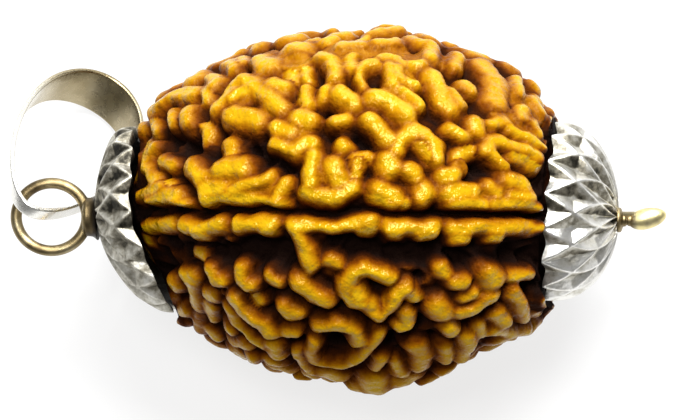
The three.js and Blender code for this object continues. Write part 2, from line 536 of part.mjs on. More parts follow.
// How far the tissue between the ridges rises from the floor
function tissueRise(p, hollows, fills) {
  const [x, y, z] = p;
  const lumps = Math.sin(2.1 * x + 1.3 * Math.sin(1.7 * y)) * Math.sin(2 * y + 1.2 * Math.sin(1.5 * z + 1))
    + 0.5 * Math.sin(1.3 * x + 2.2 * z);
  let rise = TISSUE_RISE * (0.62 + 0.25 * lumps);
  for (const { radius, middle } of fills) {
    const filled = 1 - smoothstep(0.6 * radius, 1.3 * radius, distanceTo(p, middle));
    rise = Math.max(rise, FILL_SHARE * RELIEF_DEPTH * filled);
  }
  for (const { radius, middle } of hollows) {
    rise *= smoothstep(0.5 * radius, 1.25 * radius, distanceTo(p, middle));
  }
  return rise;
}

// Height of the surface below the crowns: ridges rise from the tissue with a domed top and
// steep flanks.
function reliefAt(t, theta, { ridges, hollows, fills }) {
  const p = seedPoint(t, theta, 0);
  let rise = tissueRise(p, hollows, fills);
  for (const { half, drop, path } of ridges) {
    if (distanceTo(p, path[0]) > 9) {
      continue;
    }
    const core = 0.2 * half;
    const fall = Math.max((distanceToPath(p, path) - core) / (half + RIDGE_FLANK - core), 0);
    if (fall < 1) {
      rise = Math.max(rise, (RELIEF_DEPTH - drop) * Math.pow(1 - fall * fall, 0.7));
    }
  }
  const furrow = smoothstep(0, FURROW_HALF + 0.25, distanceToFurrow(p, t, theta));
  return rise * (0.12 + 0.88 * furrow) - RELIEF_DEPTH;
}

// Mean height of the patch round one point of the net that the seed's surface is drawn with
function meanRelief(t, theta, relief) {
  const stepT = (2 * SEED_OPEN_ANGLE) / SEED_OPEN_RINGS;
  const stepTheta = (2 * Math.PI) / SEED_AROUND;
  let sum = 0;
  for (const u of [-1, 0, 1]) {
    for (const v of [-1, 0, 1]) {
      sum += reliefAt(t + (u * stepT) / 3, theta + (v * stepTheta) / 3, relief);
    }
  }
  return sum / 9;
}

// Keeps a seed point clear of a cap: under its dome, below its rim, and outside the rim no
// higher than a shoulder that rises away from it.
function fitToCap(p, cap) {
  const y = p[1] - capLift(cap, p[0]);
  const r = Math.hypot(y, p[2]);
  const shoulder = Math.max(r - cap.radius - GAP, 0);
  const underDome = r < cap.radius - RIM_SHELF;
  const limit = underDome
    ? capSurfaceX(cap, y, r, SHEET + GAP) - cap.side * GAP
    : capSurfaceX(cap, y, cap.radius, 0) + cap.side * (shoulder - CAP_TIP - GAP);
  p[0] = cap.side < 0 ? Math.max(p[0], limit) : Math.min(p[0], limit);
}

function faceToWorld([x, y, z]) {
  const cos = Math.cos(LAY_ANGLE);
  const sin = Math.sin(LAY_ANGLE);
  return [x, axisY + y * cos - z * sin, axisHeight + y * sin + z * cos];
}

// Angles of the seed's rings from end to end: close together where it shows, and few under
// the caps.
function ringAngles() {
  const angles = SEED_CAPPED_RINGS.map((t) => -t);
  for (let i = 0; i <= SEED_OPEN_RINGS; i += 1) {
    angles.push(SEED_OPEN_ANGLE * ((2 * i) / SEED_OPEN_RINGS - 1));
  }
  return angles.concat(SEED_CAPPED_RINGS.toReversed());
}

function makeSeed() {
  const relief = layRelief();
  const angles = ringAngles();
  const positions = [];
  const heights = [];
  for (const t of angles) {
    for (let j = 0; j < SEED_AROUND; j += 1) {
      const theta = (2 * Math.PI * j) / SEED_AROUND;
      const height = Math.abs(t) > SEED_OPEN_ANGLE ? SEED_END_HEIGHT : meanRelief(t, theta, relief);
      const p = seedPoint(t, theta, height + swellAt(seedPoint(t, theta, 0)));
      fitToCap(p, EYE_CAP);
      fitToCap(p, HEAD_CAP);
      const world = faceToWorld(p);
      world[2] = Math.max(world[2], 0);
      positions.push(...world);
      heights.push(height);
    }
  }
  const indices = joinRings(heights, SEED_AROUND, false);
  for (const side of [-1, 1]) {
    const pole = positions.length / 3;
    const start = side < 0 ? 0 : (angles.length - 1) * SEED_AROUND;
    const end = [SEED_MIDDLE_X + side * (SEED_HALF_LENGTH + SEED_END_HEIGHT), 0, 0];
    fitToCap(end, side < 0 ? EYE_CAP : HEAD_CAP);
    positions.push(...faceToWorld(end));
    for (let j = 0; j < SEED_AROUND; j += 1) {
      const a = start + j;
      const b = start + ((j + 1) % SEED_AROUND);
      indices.push(...(side < 0 ? [pole, a, b] : [pole, b, a]));
    }
  }
  const bore = new THREE.CylinderGeometry(BORE_RADIUS, BORE_RADIUS, 3 * SEED_HALF_LENGTH, 16);
  bore.rotateZ(Math.PI / 2);
  bore.translate(0, axisY, axisHeight);
  return toGeometry(toSolid(geometryFrom(positions, indices)).subtract(toSolid(bore)));
}

// Cap: a thin dish whose outside is a lattice of crossing ribs with hollow diamonds between

// Share of the full dish at one point of the lattice, where turn and out count petals
function capHollow(turn, out) {
  const awayFromRib = (value) => Math.abs(value - Math.round(value));
  const away = Math.min(awayFromRib(turn + out + 0.5), awayFromRib(turn - out - 0.5));
  return Math.pow(Math.min(Math.max((away - 0.035) / 0.36, 0), 1), 0.85);
}

function makeCap(cap) {
  const around = PETALS * CAP_ROWS_PER_PETAL;
  const outerRows = CAP_PETAL_ROWS * CAP_ROWS_PER_PETAL;
  const innerRows = 5;
  const holeAngle = Math.asin(BORE_RADIUS / cap.radius);
  const positions = [];
  const heights = [];
  const addRing = (share, inset, hollowAt) => {
    const slope = holeAngle + (Math.PI / 2 - holeAngle) * Math.pow(share, CAP_ROW_GROWTH);
    const r = Math.sin(slope) * (cap.radius - inset);
    for (let j = 0; j < around; j += 1) {
      const turn = j / CAP_ROWS_PER_PETAL;
      const phi = (2 * Math.PI * (turn + cap.turn)) / PETALS;
      const dish = CAP_DISH * hollowAt(turn);
      const tip = share === 1 ? CAP_TIP * Math.cos(Math.PI * turn) ** 2 : 0;
      const surface = capSurfaceX(cap, r * Math.sin(phi), r, inset);
      const x = surface - cap.side * (dish * Math.cos(slope) + tip);
      const dished = r - dish * Math.sin(slope);
      positions.push(x, dished * Math.sin(phi) + capLift(cap, surface), dished * Math.cos(phi));
      heights.push(dish);
    }
  };
  for (let row = 0; row <= outerRows; row += 1) {
    addRing(row / outerRows, 0, (turn) => capHollow(turn, row / CAP_ROWS_PER_PETAL));
  }
  for (let row = innerRows; row >= 0; row -= 1) {
    addRing(row / innerRows, SHEET, () => 0);
  }
  const indices = joinRings(heights, around, true);
  return geometryFrom(positions, cap.side > 0 ? turnOver(indices) : indices);
}

// Pin: one silver wire, its eye closed and wrapped at the neck, its other end melted to a ball

function latheAlongX(profile, segments) {
  const geometry = new THREE.LatheGeometry(profile.map(([x, r]) => new THREE.Vector2(r, x)), segments);
  geometry.rotateZ(-Math.PI / 2);
  return geometry;
}

function makePin() {
  const sides = 16;
  const neckX = EYE_X + EYE_STRETCH * EYE_RADIUS;
  const neckEnd = EYE_CAP.rimX - EYE_CAP.depth - GAP;
  const headStart = HEAD_CAP.rimX + HEAD_CAP.depth + GAP;
  const shaft = latheAlongX([
    [neckX - 0.25, 0], [neckX - 0.25, 1.1], [neckX, 1.42], [neckX + 0.3, 1.45],
    [neckEnd, 1.55], [neckEnd, WIRE_RADIUS], [headStart + 1, WIRE_RADIUS], [headStart + 1, 0],
  ], sides);
  const collars = latheAlongX([
    [0, 0], [0, 0.5], [0.25, 0.5], [0.35, 0.4], [0.45, 0.47], [0.7, 0.47], [0.8, 0.38], [1.1, 0.3],
    [1.1, 0],
  ], sides);
  collars.translate(headStart, -HEAD_SAG, 0);
  const drop = new THREE.SphereGeometry(DROP_RADIUS, sides, 12);
  drop.scale(DROP_HALF_LENGTH / DROP_RADIUS, 1, 1);
  drop.rotateZ(DROP_TURN);
  drop.translate(headStart + 1.85, -HEAD_SAG / 2, 0);
  const eye = new THREE.TorusGeometry(EYE_RADIUS, WIRE_RADIUS, 10, 44);
  eye.scale(EYE_STRETCH, 1, 1);
  eye.translate(EYE_X, 0, 0);
  const pieces = [shaft, collars, drop, eye].map(toSolid);
  return toGeometry(pieces.reduce((whole, piece) => whole.add(piece)));
}

// Bail: a strip bent to a drop-shaped ring, narrow where it hooks the eye, wide at its top

function makeBail() {
  const steps = 56;
  const across = new THREE.Vector3(...BAIL_AXIS).normalize();
  const rise = new THREE.Vector3(...BAIL_RISE);
  rise.addScaledVector(across, -rise.dot(across)).normalize();
  const sideways = new THREE.Vector3().crossVectors(rise, across);
  const middle = (angle) => new THREE.Vector3(...BAIL_HOOK)
    .addScaledVector(rise, (BAIL_LENGTH / 2) * (1 - Math.cos(angle)))
    .addScaledVector(sideways, BAIL_HALF_WIDTH * Math.sin(angle) * (1 - BAIL_EGG * Math.cos(angle)));
  const positions = [];
  for (let i = 0; i < steps; i += 1) {
    const angle = (2 * Math.PI * i) / steps;
    const centre = middle(angle);
    const tangent = middle(angle + 0.01).sub(middle(angle - 0.01)).normalize();
    const outward = new THREE.Vector3().crossVectors(tangent, across);
    const width = BAIL_STRIP_EYE
      + (BAIL_STRIP_TOP - BAIL_STRIP_EYE) * Math.pow(Math.sin(angle / 2), BAIL_TAPER);
    const half = width / 2;
    const thick = BAIL_THICKNESS / 2;
    const round = 0.14;
    const section = [
      [half - round, thick], [half, thick - round], [half, round - thick], [half - round, -thick],
      [round - half, -thick], [-half, round - thick], [-half, thick - round], [round - half, thick],
    ];
    for (const [u, v] of section) {
      const p = centre.clone().addScaledVector(across, u).addScaledVector(outward, v);
      positions.push(p.x, p.y, p.z);
    }
  }
  return geometryFrom(positions, joinRings(new Array(steps * 8).fill(0), 8, true));
}

const silver = "#b9b6ae";
const group = new THREE.Group();
group.add(named("seed", makeSeed(), "#8a4f12", 0.32, 0));

const strung = new THREE.Group();
strung.rotation.x = LAY_ANGLE;
strung.position.set(0, axisY, axisHeight);
strung.add(named("cap_eye_end", makeCap(EYE_CAP), silver, 0.3, 1));
strung.add(named("cap_head_end", makeCap(HEAD_CAP), silver, 0.3, 1));
strung.add(named("pin", makePin(), "#a89f8c", 0.28, 1));
strung.add(named("bail", makeBail(), "#b3a98f", 0.25, 1));
group.add(strung);

export default group;
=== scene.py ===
# Looks of a rudraksha seed strung as a pendant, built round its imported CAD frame.
# Sizes are in millimetres in the face frame (X along the pin, Y across, Z out of the face that
# looks up), and turn into metres in the row frame only when a mesh is made.

import math

import bpy
import numpy as np
from mathutils import Matrix, Vector


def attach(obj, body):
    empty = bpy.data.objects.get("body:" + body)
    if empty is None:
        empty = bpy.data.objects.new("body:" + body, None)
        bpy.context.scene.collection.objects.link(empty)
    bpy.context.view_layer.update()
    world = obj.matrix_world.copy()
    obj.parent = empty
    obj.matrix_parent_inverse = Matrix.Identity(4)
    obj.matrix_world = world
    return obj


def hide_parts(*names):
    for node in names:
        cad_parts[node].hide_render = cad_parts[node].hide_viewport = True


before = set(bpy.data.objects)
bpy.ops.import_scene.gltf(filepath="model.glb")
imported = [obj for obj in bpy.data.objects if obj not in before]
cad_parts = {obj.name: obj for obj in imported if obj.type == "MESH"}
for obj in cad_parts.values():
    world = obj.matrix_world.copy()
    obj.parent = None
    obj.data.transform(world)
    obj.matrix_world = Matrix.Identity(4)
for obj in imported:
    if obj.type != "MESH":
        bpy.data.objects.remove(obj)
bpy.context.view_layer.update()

MM = 0.001

# Dimensions that the CAD model shares

SEED_RADIUS = 13.4
SEED_HALF_LENGTH = 18.0
SEED_MIDDLE_X = 0.6
BORE_OFFSET = 0.9
BORE_RADIUS = 0.8
RELIEF_DEPTH = 2.3
FACE_LINES = 3
FACE_LINE_Y = 0.38
FACE_LINE_SLOPE = -0.022
FURROW_HALF = 0.18
SEED_END_HEIGHT = -0.8
REST_CUT = 0.3
REST_RING = (3.4, 2.5)
REST_MIDDLE_X = -0.45
REST_PROUD = 0.2
LAY_ANGLE = math.radians(15)
FACE_TURN = math.radians(6)
WIRE_RADIUS = 0.41
EYE_RADIUS = 2.54
EYE_STRETCH = 1.055
EYE_X = -22.57
DROP_RADIUS = 0.78
DROP_HALF_LENGTH = 1.45
DROP_TURN = math.radians(13)
HEAD_SAG = 0.22
SHEET = 0.8
GAP = 0.3
CAP_DISH = 0.5
CAP_TIP = 0.25
CAP_PETAL_ROWS = 1.5
CAP_ROW_GROWTH = 0.8
RIM_SHELF = 1.9
PETALS = 16
EYE_CAP = dict(
    rim_x=-15.8, side=-1, radius=6.98, depth=3.25, fullness=2.35, tilt=0.33, bend=0.6, curl=0.8,
    lift=-0.22, turn=0.24)
HEAD_CAP = dict(
    rim_x=15.4, side=1, radius=6.8, depth=4.8, fullness=2.15, tilt=-0.065, bend=20, curl=0,
    lift=0.45, turn=0.5)
BAIL_HALF_WIDTH = 4.4
BAIL_LENGTH = 18.59
BAIL_EGG = 0.234
BAIL_STRIP_EYE = 1.05
BAIL_STRIP_TOP = 3.57
BAIL_TAPER = 3.7
BAIL_THICKNESS = 0.4
BAIL_HOOK = np.array([-24.149, 0.594, 1.747])
BAIL_AXIS = np.array([0.506, 0.706, 0.504])
BAIL_RISE = np.array([0.207, 0.468, -0.85])

# The scene's own values. Its ridges are stouter and the room between them is fuller than in the
# CAD model, and its caps close nearer to the pin.

RIDGE_GROWTH = 1.25               # of the half widths in the list of ridges
RIDGE_FLANK = 0.5                 # how far a ridge's foot reaches past that
RIDGE_BLEND = 0.8                 # difference in height over which two ridges melt together
STOUTNESS = (0.28, 1.5, 11)       # how much a ridge's reach varies, over what length, noise seed
WOBBLES = ((0.16, 1.1, (1, 2, 3)), (0.22, 2.6, (7, 8, 9)))    # amount, size, noise seeds
TISSUE_RISE = 1.5
TISSUE_CREST_POWER = 2.3          # how dark low tissue is
FILL_SHARE = 0.8
CAP_HOLE_RADIUS = 0.55
FACET_ROWS_PER_PETAL = 24
RIDGE_SEED = 20
TONE_SEED = 5

AXIS_HEIGHT = SEED_RADIUS - REST_CUT - BORE_OFFSET * math.sin(LAY_ANGLE)
AXIS_Y = -BORE_OFFSET * math.cos(LAY_ANGLE)

# Where the seed's outline swells out or falls in: [amount, spread, x, y]

SWELLS = [
    (0.4, 3, -13, 9.5), (0.5, 1.6, 4.2, 14.2), (0.5, 2.5, 11.3, 11.8), (0.4, 1.6, 13.2, 10.4),
    (1.2, 2.6, -11.3, -8.8), (0.5, 2.8, 6, -12.2), (0.3, 1.2, 2.6, -12.8), (-0.8, 1.5, 10, -10),
    (0.3, 1.2, 13.2, -8.7), (-0.7, 1.3, 15.2, -7),
    (0.4, 1.8, -6.5, 12.6), (0.4, 1.3, -15.1, 7.6), (0.5, 1.6, -10.2, -9.3),
    (-0.4, 1.3, 10.8, -9.9),
    (0.7, 2, 1.6, -12.6), (0.6, 1.4, -12.8, -7.4),
]


# Ridges of the face that looks up: [half width, drop of the crown, path]

FACE_RIDGES = [
    # upper lip of the face line
    [0.5, 0, [[-16.4, 1.4], [-15.2, 1.9], [-14.5, 2.1]]],
    [0.6, 0, [[-15.2, 0.9], [-14, 1.5], [-13.2, 1.6]]],
    [0.4, 0, [[-13.6, 0.8], [-12.5, 0.9]]],
    [0.8, 0, [[-10.9, 2.1], [-9.8, 2]]],
    [0.5, 0.1, [[-10.9, 1.4], [-8.8, 1.4], [-7, 1.2], [-5.2, 1]]],
    [0.5, 0, [[-8.9, 1.8], [-7.4, 2.6], [-6.2, 3.1]]],
    [0.45, 0, [[-5.6, 1.3], [-4.9, 2.6]]],
    [0.6, 0, [[-2.7, 4.6], [-2.9, 3.6], [-2.8, 2.6]]],
    [0.7, 0, [[-1.2, 4], [-0.9, 2.9]]],
    [0.5, 0, [[-3.2, 1.8], [-2, 1.7], [-0.6, 1.6], [0.2, 2.2]]],
    [0.35, 0.4, [[0.5, 4.2], [0.3, 3.2]]],
    [0.8, 0, [[2.1, 2.1], [3.3, 1.6]]],
    [0.6, 0.1, [[1.9, 1.4], [2.7, 1.2]]],
    [0.5, 0.1, [[3.4, 1.6], [3.8, 1.2]]],
    [0.85, 0, [[5.3, 1.6], [5.7, 2]]],
    [0.6, 0, [[7.4, 1.9], [9.2, 1.9]]],
    [0.4, 0, [[7.6, 1], [8.8, 0.9], [10, 0.9]]],
    [0.5, 0, [[10.4, 2.2], [11, 1.8]]],
    [0.45, 0, [[10.8, 1], [13.3, 0.9], [14.2, 0.6]]],
    [0.35, 0, [[12, 1.6], [13.6, 1.5]]],
    [0.75, 0, [[11.9, 2.7], [13, 2.5]]],
    # lower lip of the face line
    [0.4, 0.3, [[-16, -0.8], [-13.8, -0.7]]],
    [0.6, 0, [[-12.6, -0.7], [-11.4, -0.9], [-9.9, -0.6]]],
    [0.45, 0, [[-11.6, -1.3], [-11.1, -1.3]]],
    [0.55, 0, [[-8.5, -0.6], [-6.9, -0.7], [-5.9, -0.6]]],
    [0.45, 0, [[-6.5, -1.1], [-6, -1.1]]],
    [0.5, 0, [[-4.3, -0.6], [-2.8, -0.6], [-1, -0.6], [0.6, -0.6], [1.3, -0.5]]],
    [0.55, 0, [[-4, -1], [-3.6, -1.9], [-3.4, -2.9], [-2.9, -3.8]]],
    [0.4, 0.1, [[0.9, -1], [1.4, -1]]],
    [0.5, 0, [[2.9, -0.8], [4.2, -0.8], [5.4, -0.9], [6.3, -0.8]]],
    [0.4, 0, [[3.1, -1.2], [3.3, -1.2]]],
    [0.45, 0, [[5.2, -1.4], [6, -1.3]]],
    [0.5, 0, [[7.7, -1], [8.9, -0.9], [10.4, -0.8], [12.2, -0.8], [14.3, -0.9]]],
    [0.5, 0, [[8, -1.6], [8.6, -1.7]]],
    [0.45, 0, [[10.7, -1.5], [11.2, -1.5]]],
    # upper half, eye end
    [0.75, 0, [[-12.1, 3.8], [-11.4, 3.1]]],
    [0.8, 0, [[-9.9, 3.6], [-8.3, 3.8]]],
    [0.6, 0.5, [[-9.4, 5.6], [-9.2, 5.1]]],
    [0.95, 0, [[-8.8, 7.6], [-7.1, 7.2]]],
    [0.75, 0, [[-8.2, 10.4], [-9.2, 9.3], [-10.1, 8.2]]],
    [0.7, 0.1, [[-8.8, 9], [-7.8, 9.4]]],
    [0.7, 0, [[-7.9, 10.3], [-7, 9.7], [-6, 8.8], [-5.3, 8.2]]],
    [0.7, 0, [[-10.6, 10.6], [-10.3, 10.2]]],
    [0.45, 0.3, [[-11.1, 9.7], [-11, 9]]],
    [0.65, 0, [[-9.2, 11.7], [-8.9, 11.3]]],
    [0.45, 0.2, [[-8.2, 12.2], [-8, 11.9]]],
    [1.05, 0, [[-6.7, 12], [-6.2, 11.4]]],
    [0.6, 0, [[-5.8, 10.1], [-5.1, 10]]],
    [0.95, 0, [[-4.5, 12.8], [-3.6, 12.9]]],
    [0.45, 0.6, [[-4.6, 11.5], [-4.4, 10.7]]],
    [0.45, 0.6, [[-3.5, 11.6], [-3.3, 10.7]]],
    [0.7, 0, [[-14.9, 8], [-14, 8.8]]],
    [0.75, 0, [[-13.2, 9.3], [-12.1, 9.4]]],
    [0.75, 0, [[-12.3, 8], [-12.3, 7.2]]],
    [0.45, 0.2, [[-13.8, 8], [-13.6, 7.2]]],
    [0.5, 0.5, [[-15.2, 7.2], [-15.1, 6.7]]],
    [0.35, 0.7, [[-15.7, 5.7], [-15.6, 5.5]]],
    [0.5, 0, [[-14.9, 5.4], [-15.5, 4.7], [-15.6, 3.8], [-15.2, 3], [-14.9, 2.7]]],
    [0.55, 0.1, [[-14.3, 4.2], [-13.7, 3.9]]],
    [0.3, 0.5, [[-14.1, 2.5], [-13.8, 2.4]]],
    [0.5, 0.6, [[-11.3, 7.1], [-11.1, 6.2]]],
    # upper half, middle
    [0.75, 0, [[-5.5, 6.7], [-4.7, 6.5]]],
    [0.5, 0, [[-5.8, 5.5], [-4.9, 5.1], [-4, 4.8]]],
    [0.6, 0, [[-4, 4.9], [-3.3, 5.5], [-2.8, 5.6]]],
    [0.8, 0, [[-3.8, 7.6], [-3.2, 7.4]]],
    [0.55, 0, [[-1, 7.4], [-0.5, 7.4]]],
    [0.5, 0.3, [[-0.6, 5.7], [-0.4, 5.5]]],
    [0.5, 0.5, [[0.5, 4.6], [1.1, 4.7]]],
    [0.6, 0, [[-1.8, 13.4], [-1.2, 13.5]]],
    [0.65, 0, [[-2.3, 12.3], [-1.6, 11.9], [-1.2, 11.2], [-1.3, 10.5]]],
    [0.6, 0, [[-0.9, 9.4], [0.1, 8.9], [0.3, 8.6]]],
    [0.4, 0.2, [[-2, 9.6], [-2.1, 9.2]]],
    [0.4, 0, [[2, 11.6], [1.2, 11.5], [0.7, 11], [0.6, 10.4], [0.9, 9.9]]],
    [0.6, 0, [[-0.6, 12.9], [0.8, 13]]],
    [0.5, 0.1, [[0.1, 12.1], [0, 11.2]]],
    [0.4, 0, [[2.4, 12], [3, 12.1], [3.8, 11.9], [4.2, 11.5]]],
    [0.45, 0, [[3.1, 11.5], [3.1, 10.8], [3.2, 10]]],
    [0.4, 0, [[3.7, 11.2], [3.8, 10.4]]],
    [0.7, 0, [[2.2, 13.1], [3.4, 13.2]]],
    [0.6, 0, [[1.7, 13.9], [3.6, 14]]],
    [0.75, 0, [[4.7, 13.4], [5.5, 13]]],
    [0.85, 0, [[2, 9.1], [2.8, 8.8], [3.9, 8.1], [4.2, 7.7]]],
    [0.35, 0, [[3.9, 9.6], [4.7, 9], [5.3, 8.3]]],
    [0.45, 0, [[4.5, 10.3], [4.9, 10.1]]],
    [0.5, 0, [[4.9, 11.4], [5.4, 11.5]]],
    [0.65, 0, [[1.3, 7.4], [2, 6.7], [2.6, 6]]],
    [0.65, 0, [[3.4, 5.2], [3.7, 5.9], [4.4, 6.4], [5.1, 6.5], [5.9, 6.1], [6.4, 5.4], [6.6, 4.6]]],
    [0.8, 0.3, [[5.5, 5.6], [6, 4.9]]],
    [0.95, 0, [[2.7, 4.2], [2.9, 3.8]]],
    [0.65, 0, [[4.4, 3.6], [4.9, 3.3]]],
    # upper half, head end
    [0.7, 0, [[6.4, 10.8], [6.7, 9.6], [7.1, 8.6], [7.5, 8]]],
    [0.45, 0, [[7.7, 9.5], [8.2, 8.6]]],
    [0.55, 0, [[8.7, 10.1], [9.2, 9.6]]],
    [0.65, 0, [[8, 12.2], [8, 11.4]]],
    [0.75, 0, [[6, 12.8], [6, 12]]],
    [1.2, 0, [[9.9, 11.3], [10.8, 10.4], [10.9, 8.8]]],
    [0.45, 0, [[12.4, 10.2], [12.6, 9.4]]],
    [0.5, 0, [[13.5, 9.8], [13.7, 9.4]]],
    [0.55, 0, [[13, 8.2], [12.9, 7.7]]],
    [0.5, 0, [[13.8, 8.7], [14.3, 8.1]]],
    [0.45, 0.2, [[10.6, 7.1], [11.7, 7.3]]],
    [0.6, 0, [[13.8, 7], [14.2, 6.5]]],
    [0.5, 0, [[15.1, 7.5], [15.3, 7]]],
    [0.4, 0, [[11.9, 6.8], [12.8, 6.2], [13.8, 5.8], [14.5, 5.4]]],
    [0.45, 0, [[10, 5.2], [10.5, 5.7], [11.2, 5.8], [12.3, 5.4], [13.4, 5], [14.2, 4.5]]],
    [0.7, 0.3, [[12.4, 4.8], [13.3, 4.6], [14.1, 4.2]]],
    [0.45, 0, [[10.5, 5], [11, 4.5], [11.5, 3.9]]],
    [0.6, 0, [[9.4, 7.2], [9.5, 6.7]]],
    [0.55, 0.1, [[7.7, 6.6], [8.5, 6.1]]],
    [0.6, 0.7, [[8.3, 4.6], [9, 5.1]]],
    [0.5, 0, [[7.1, 3.2], [7.8, 3.3]]],
    # lower half, eye end
    [0.7, 0, [[-12.6, -4.6], [-12.1, -4.8]]],
    [0.5, 0.1, [[-12.1, -5.3], [-12, -6.1], [-11.7, -7.1]]],
    [0.45, 1, [[-12, -3], [-11.6, -3.2]]],
    [0.55, 0.2, [[-10.6, -4.3], [-10.3, -4.9], [-9.8, -5]]],
    [0.6, 0.2, [[-10.9, -6.3], [-10.5, -6.4]]],
    [0.5, 0.3, [[-10.8, -7.3], [-10.6, -8.1]]],
    [0.5, 0.1, [[-11.4, -7.8], [-10.9, -8.8], [-10.2, -9.4]]],
    [0.5, 0, [[-8.3, -4], [-8.3, -4.9], [-7.9, -5.4], [-7.5, -5.3]]],
    [0.6, 0, [[-8.8, -6.4], [-8.3, -7.1], [-7.4, -7.8], [-6.7, -8.2], [-6.1, -8.9]]],
    [0.4, 0.3, [[-9.3, -7.3], [-8.9, -8.2], [-8, -9], [-6.9, -9.8]]],
    [0.4, 0.7, [[-7.4, -6.4], [-7.1, -6.8]]],
    [0.5, 0.2, [[-6.2, -4.6], [-5.6, -5]]],
    [0.65, 0, [[-5, -6.9], [-4.6, -7.4], [-4.1, -7.3]]],
    [0.55, 0, [[-4.9, -8.8], [-4.3, -8.8]]],
    [0.7, 0, [[-3.8, -5], [-3.1, -5.5], [-2.1, -6.4]]],
    [0.6, 0.1, [[-6, -9.9], [-5.6, -10.6]]],
    [0.55, 0.2, [[-9, -9.8], [-8, -10.1]]],
    # lower half, middle
    [0.45, 0, [[3, -4.8], [2.2, -4.5], [1.2, -4.1], [0.3, -4.3], [-0.3, -5], [-0.4, -5.8],
      [0, -6.4], [0.7, -6.6]]],
    [0.5, 0.1, [[0.4, -5.6], [0.6, -6]]],
    [0.55, 0, [[1.4, -6.8], [1.8, -7.3], [2.2, -7.6]]],
    [0.45, 0, [[2.5, -7.5], [3.1, -6.8], [3.7, -5.9], [4.2, -5.4]]],
    [0.5, 0.2, [[4.4, -7.6], [4.4, -8.3], [3.7, -8.5]]],
    [0.6, 0, [[-2.4, -8.4], [-1.3, -8.2], [-0.3, -8.3], [0.4, -8.8], [0.7, -9.5]]],
    [0.4, 0, [[-2.8, -9.5], [-3, -10.3], [-2.5, -11], [-1.5, -11.3], [-0.4, -11.2], [0.7, -10.7],
      [1.6, -9.9], [2.2, -9]]],
    [0.4, 0.2, [[-4, -10.4], [-3.6, -11.2], [-3, -11.8]]],
    [0.85, 0.1, [[5, -10], [5.6, -10.7], [5.3, -11.4]]],
    [0.5, 0.2, [[2.4, -10.9], [1.9, -11.7]]],
    [0.5, 0.2, [[3.5, -11.2], [3.9, -11.9]]],
    # lower half, head end
    [0.45, 0.4, [[7, -4], [7.2, -4.4]]],
    [0.5, 0.1, [[7.8, -5.2], [8.5, -5.1]]],
    [0.9, 0, [[6.7, -7], [7, -7.4]]],
    [0.5, 0, [[7.5, -8.5], [7.8, -8.8]]],
    [0.45, 0, [[8.4, -7.4], [9.4, -7.2], [10, -6.8], [10.6, -6.2]]],
    [0.8, 0, [[10.6, -4.4], [10.8, -4.8]]],
    [0.35, 0.3, [[12.1, -4.8], [13.8, -4.6]]],
    [0.5, 0, [[12.2, -6], [12.9, -6.8], [13.3, -7.8]]],
    [0.55, 0.1, [[11.3, -7.6], [11.8, -8.2]]],
    [0.4, 0.1, [[11, -8.9], [12.6, -9], [13.5, -8.7]]],
    [0.5, 0.4, [[9.9, -8.5], [10.1, -9.2]]],
    [0.55, 0, [[8.8, -9.2], [8.9, -10], [8.4, -10.8]]],
    [0.45, 0.1, [[7.3, -10], [7.2, -10.9]]],
]


# Hollows of that face, which go down to the floor, and places that are filled almost to the
# crowns: [radius, x, y]

FACE_HOLLOWS = [
    (1.2, -14.5, -3.5), (1, -14.2, -4.8), (0.9, -14.4, -2), (0.7, -12.9, -2.7), (0.7, -10.6, -3),
    (0.9, -9.6, -2.9), (1, -8.3, -2.6), (1, -6.9, -2.9), (1, -5.6, -2.9), (0.6, -4.8, -3.9),
    (0.5, -9.1, -4.3), (0.6, -7.1, -3.9), (0.8, -8.2, -9.2), (0.6, -10.1, -7.8), (0.6, -9.3, -6),
    (0.5, -6.5, -6.2), (0.5, -2.4, -7.6), (1, 0.2, -2.6), (0.9, 1.7, -2.6), (1, 3.2, -3.1),
    (1, 4.6, -3), (0.9, 6, -3), (0.6, -1.3, -2), (0.9, 8.9, -3.8), (0.8, 8.1, -3.2),
    (0.6, 9.2, -4.9), (0.9, 12.6, -3.1), (0.9, 14, -3.4), (1, 13.9, -5.6), (0.5, 9.6, -5.8),
    (0.7, 11.9, -7.2), (0.7, 5.3, -8.4), (0.5, 5.4, -4.9), (0.7, 1.6, -5.3), (0.9, -1.1, -10.1),
    (0.6, 2.4, -9.7), (0.7, 3.2, -10), (0.7, 6.5, -9.8), (0.5, 3.6, -7.8), (1.2, -12.6, 5.5),
    (0.8, -13.8, 6.2), (0.6, -10.3, 6.3), (0.9, -6.6, 5), (0.8, -5.2, 4), (0.6, -7.8, 5.3),
    (0.4, -12, 2.6), (0.4, -14, 3.1), (0.8, 0.7, 5.9), (0.5, 1, 2.3), (0.4, 4.1, 2.7),
    (0.4, 4.6, 4.9), (0.7, 10, 4), (0.6, 14.4, 3.2), (0.5, 2.3, 10.4), (0.4, 5.3, 9.2),
    (0.5, -1.9, 8.4), (0.5, -1.2, 6.6), (0.5, 7.5, 5.4),
]

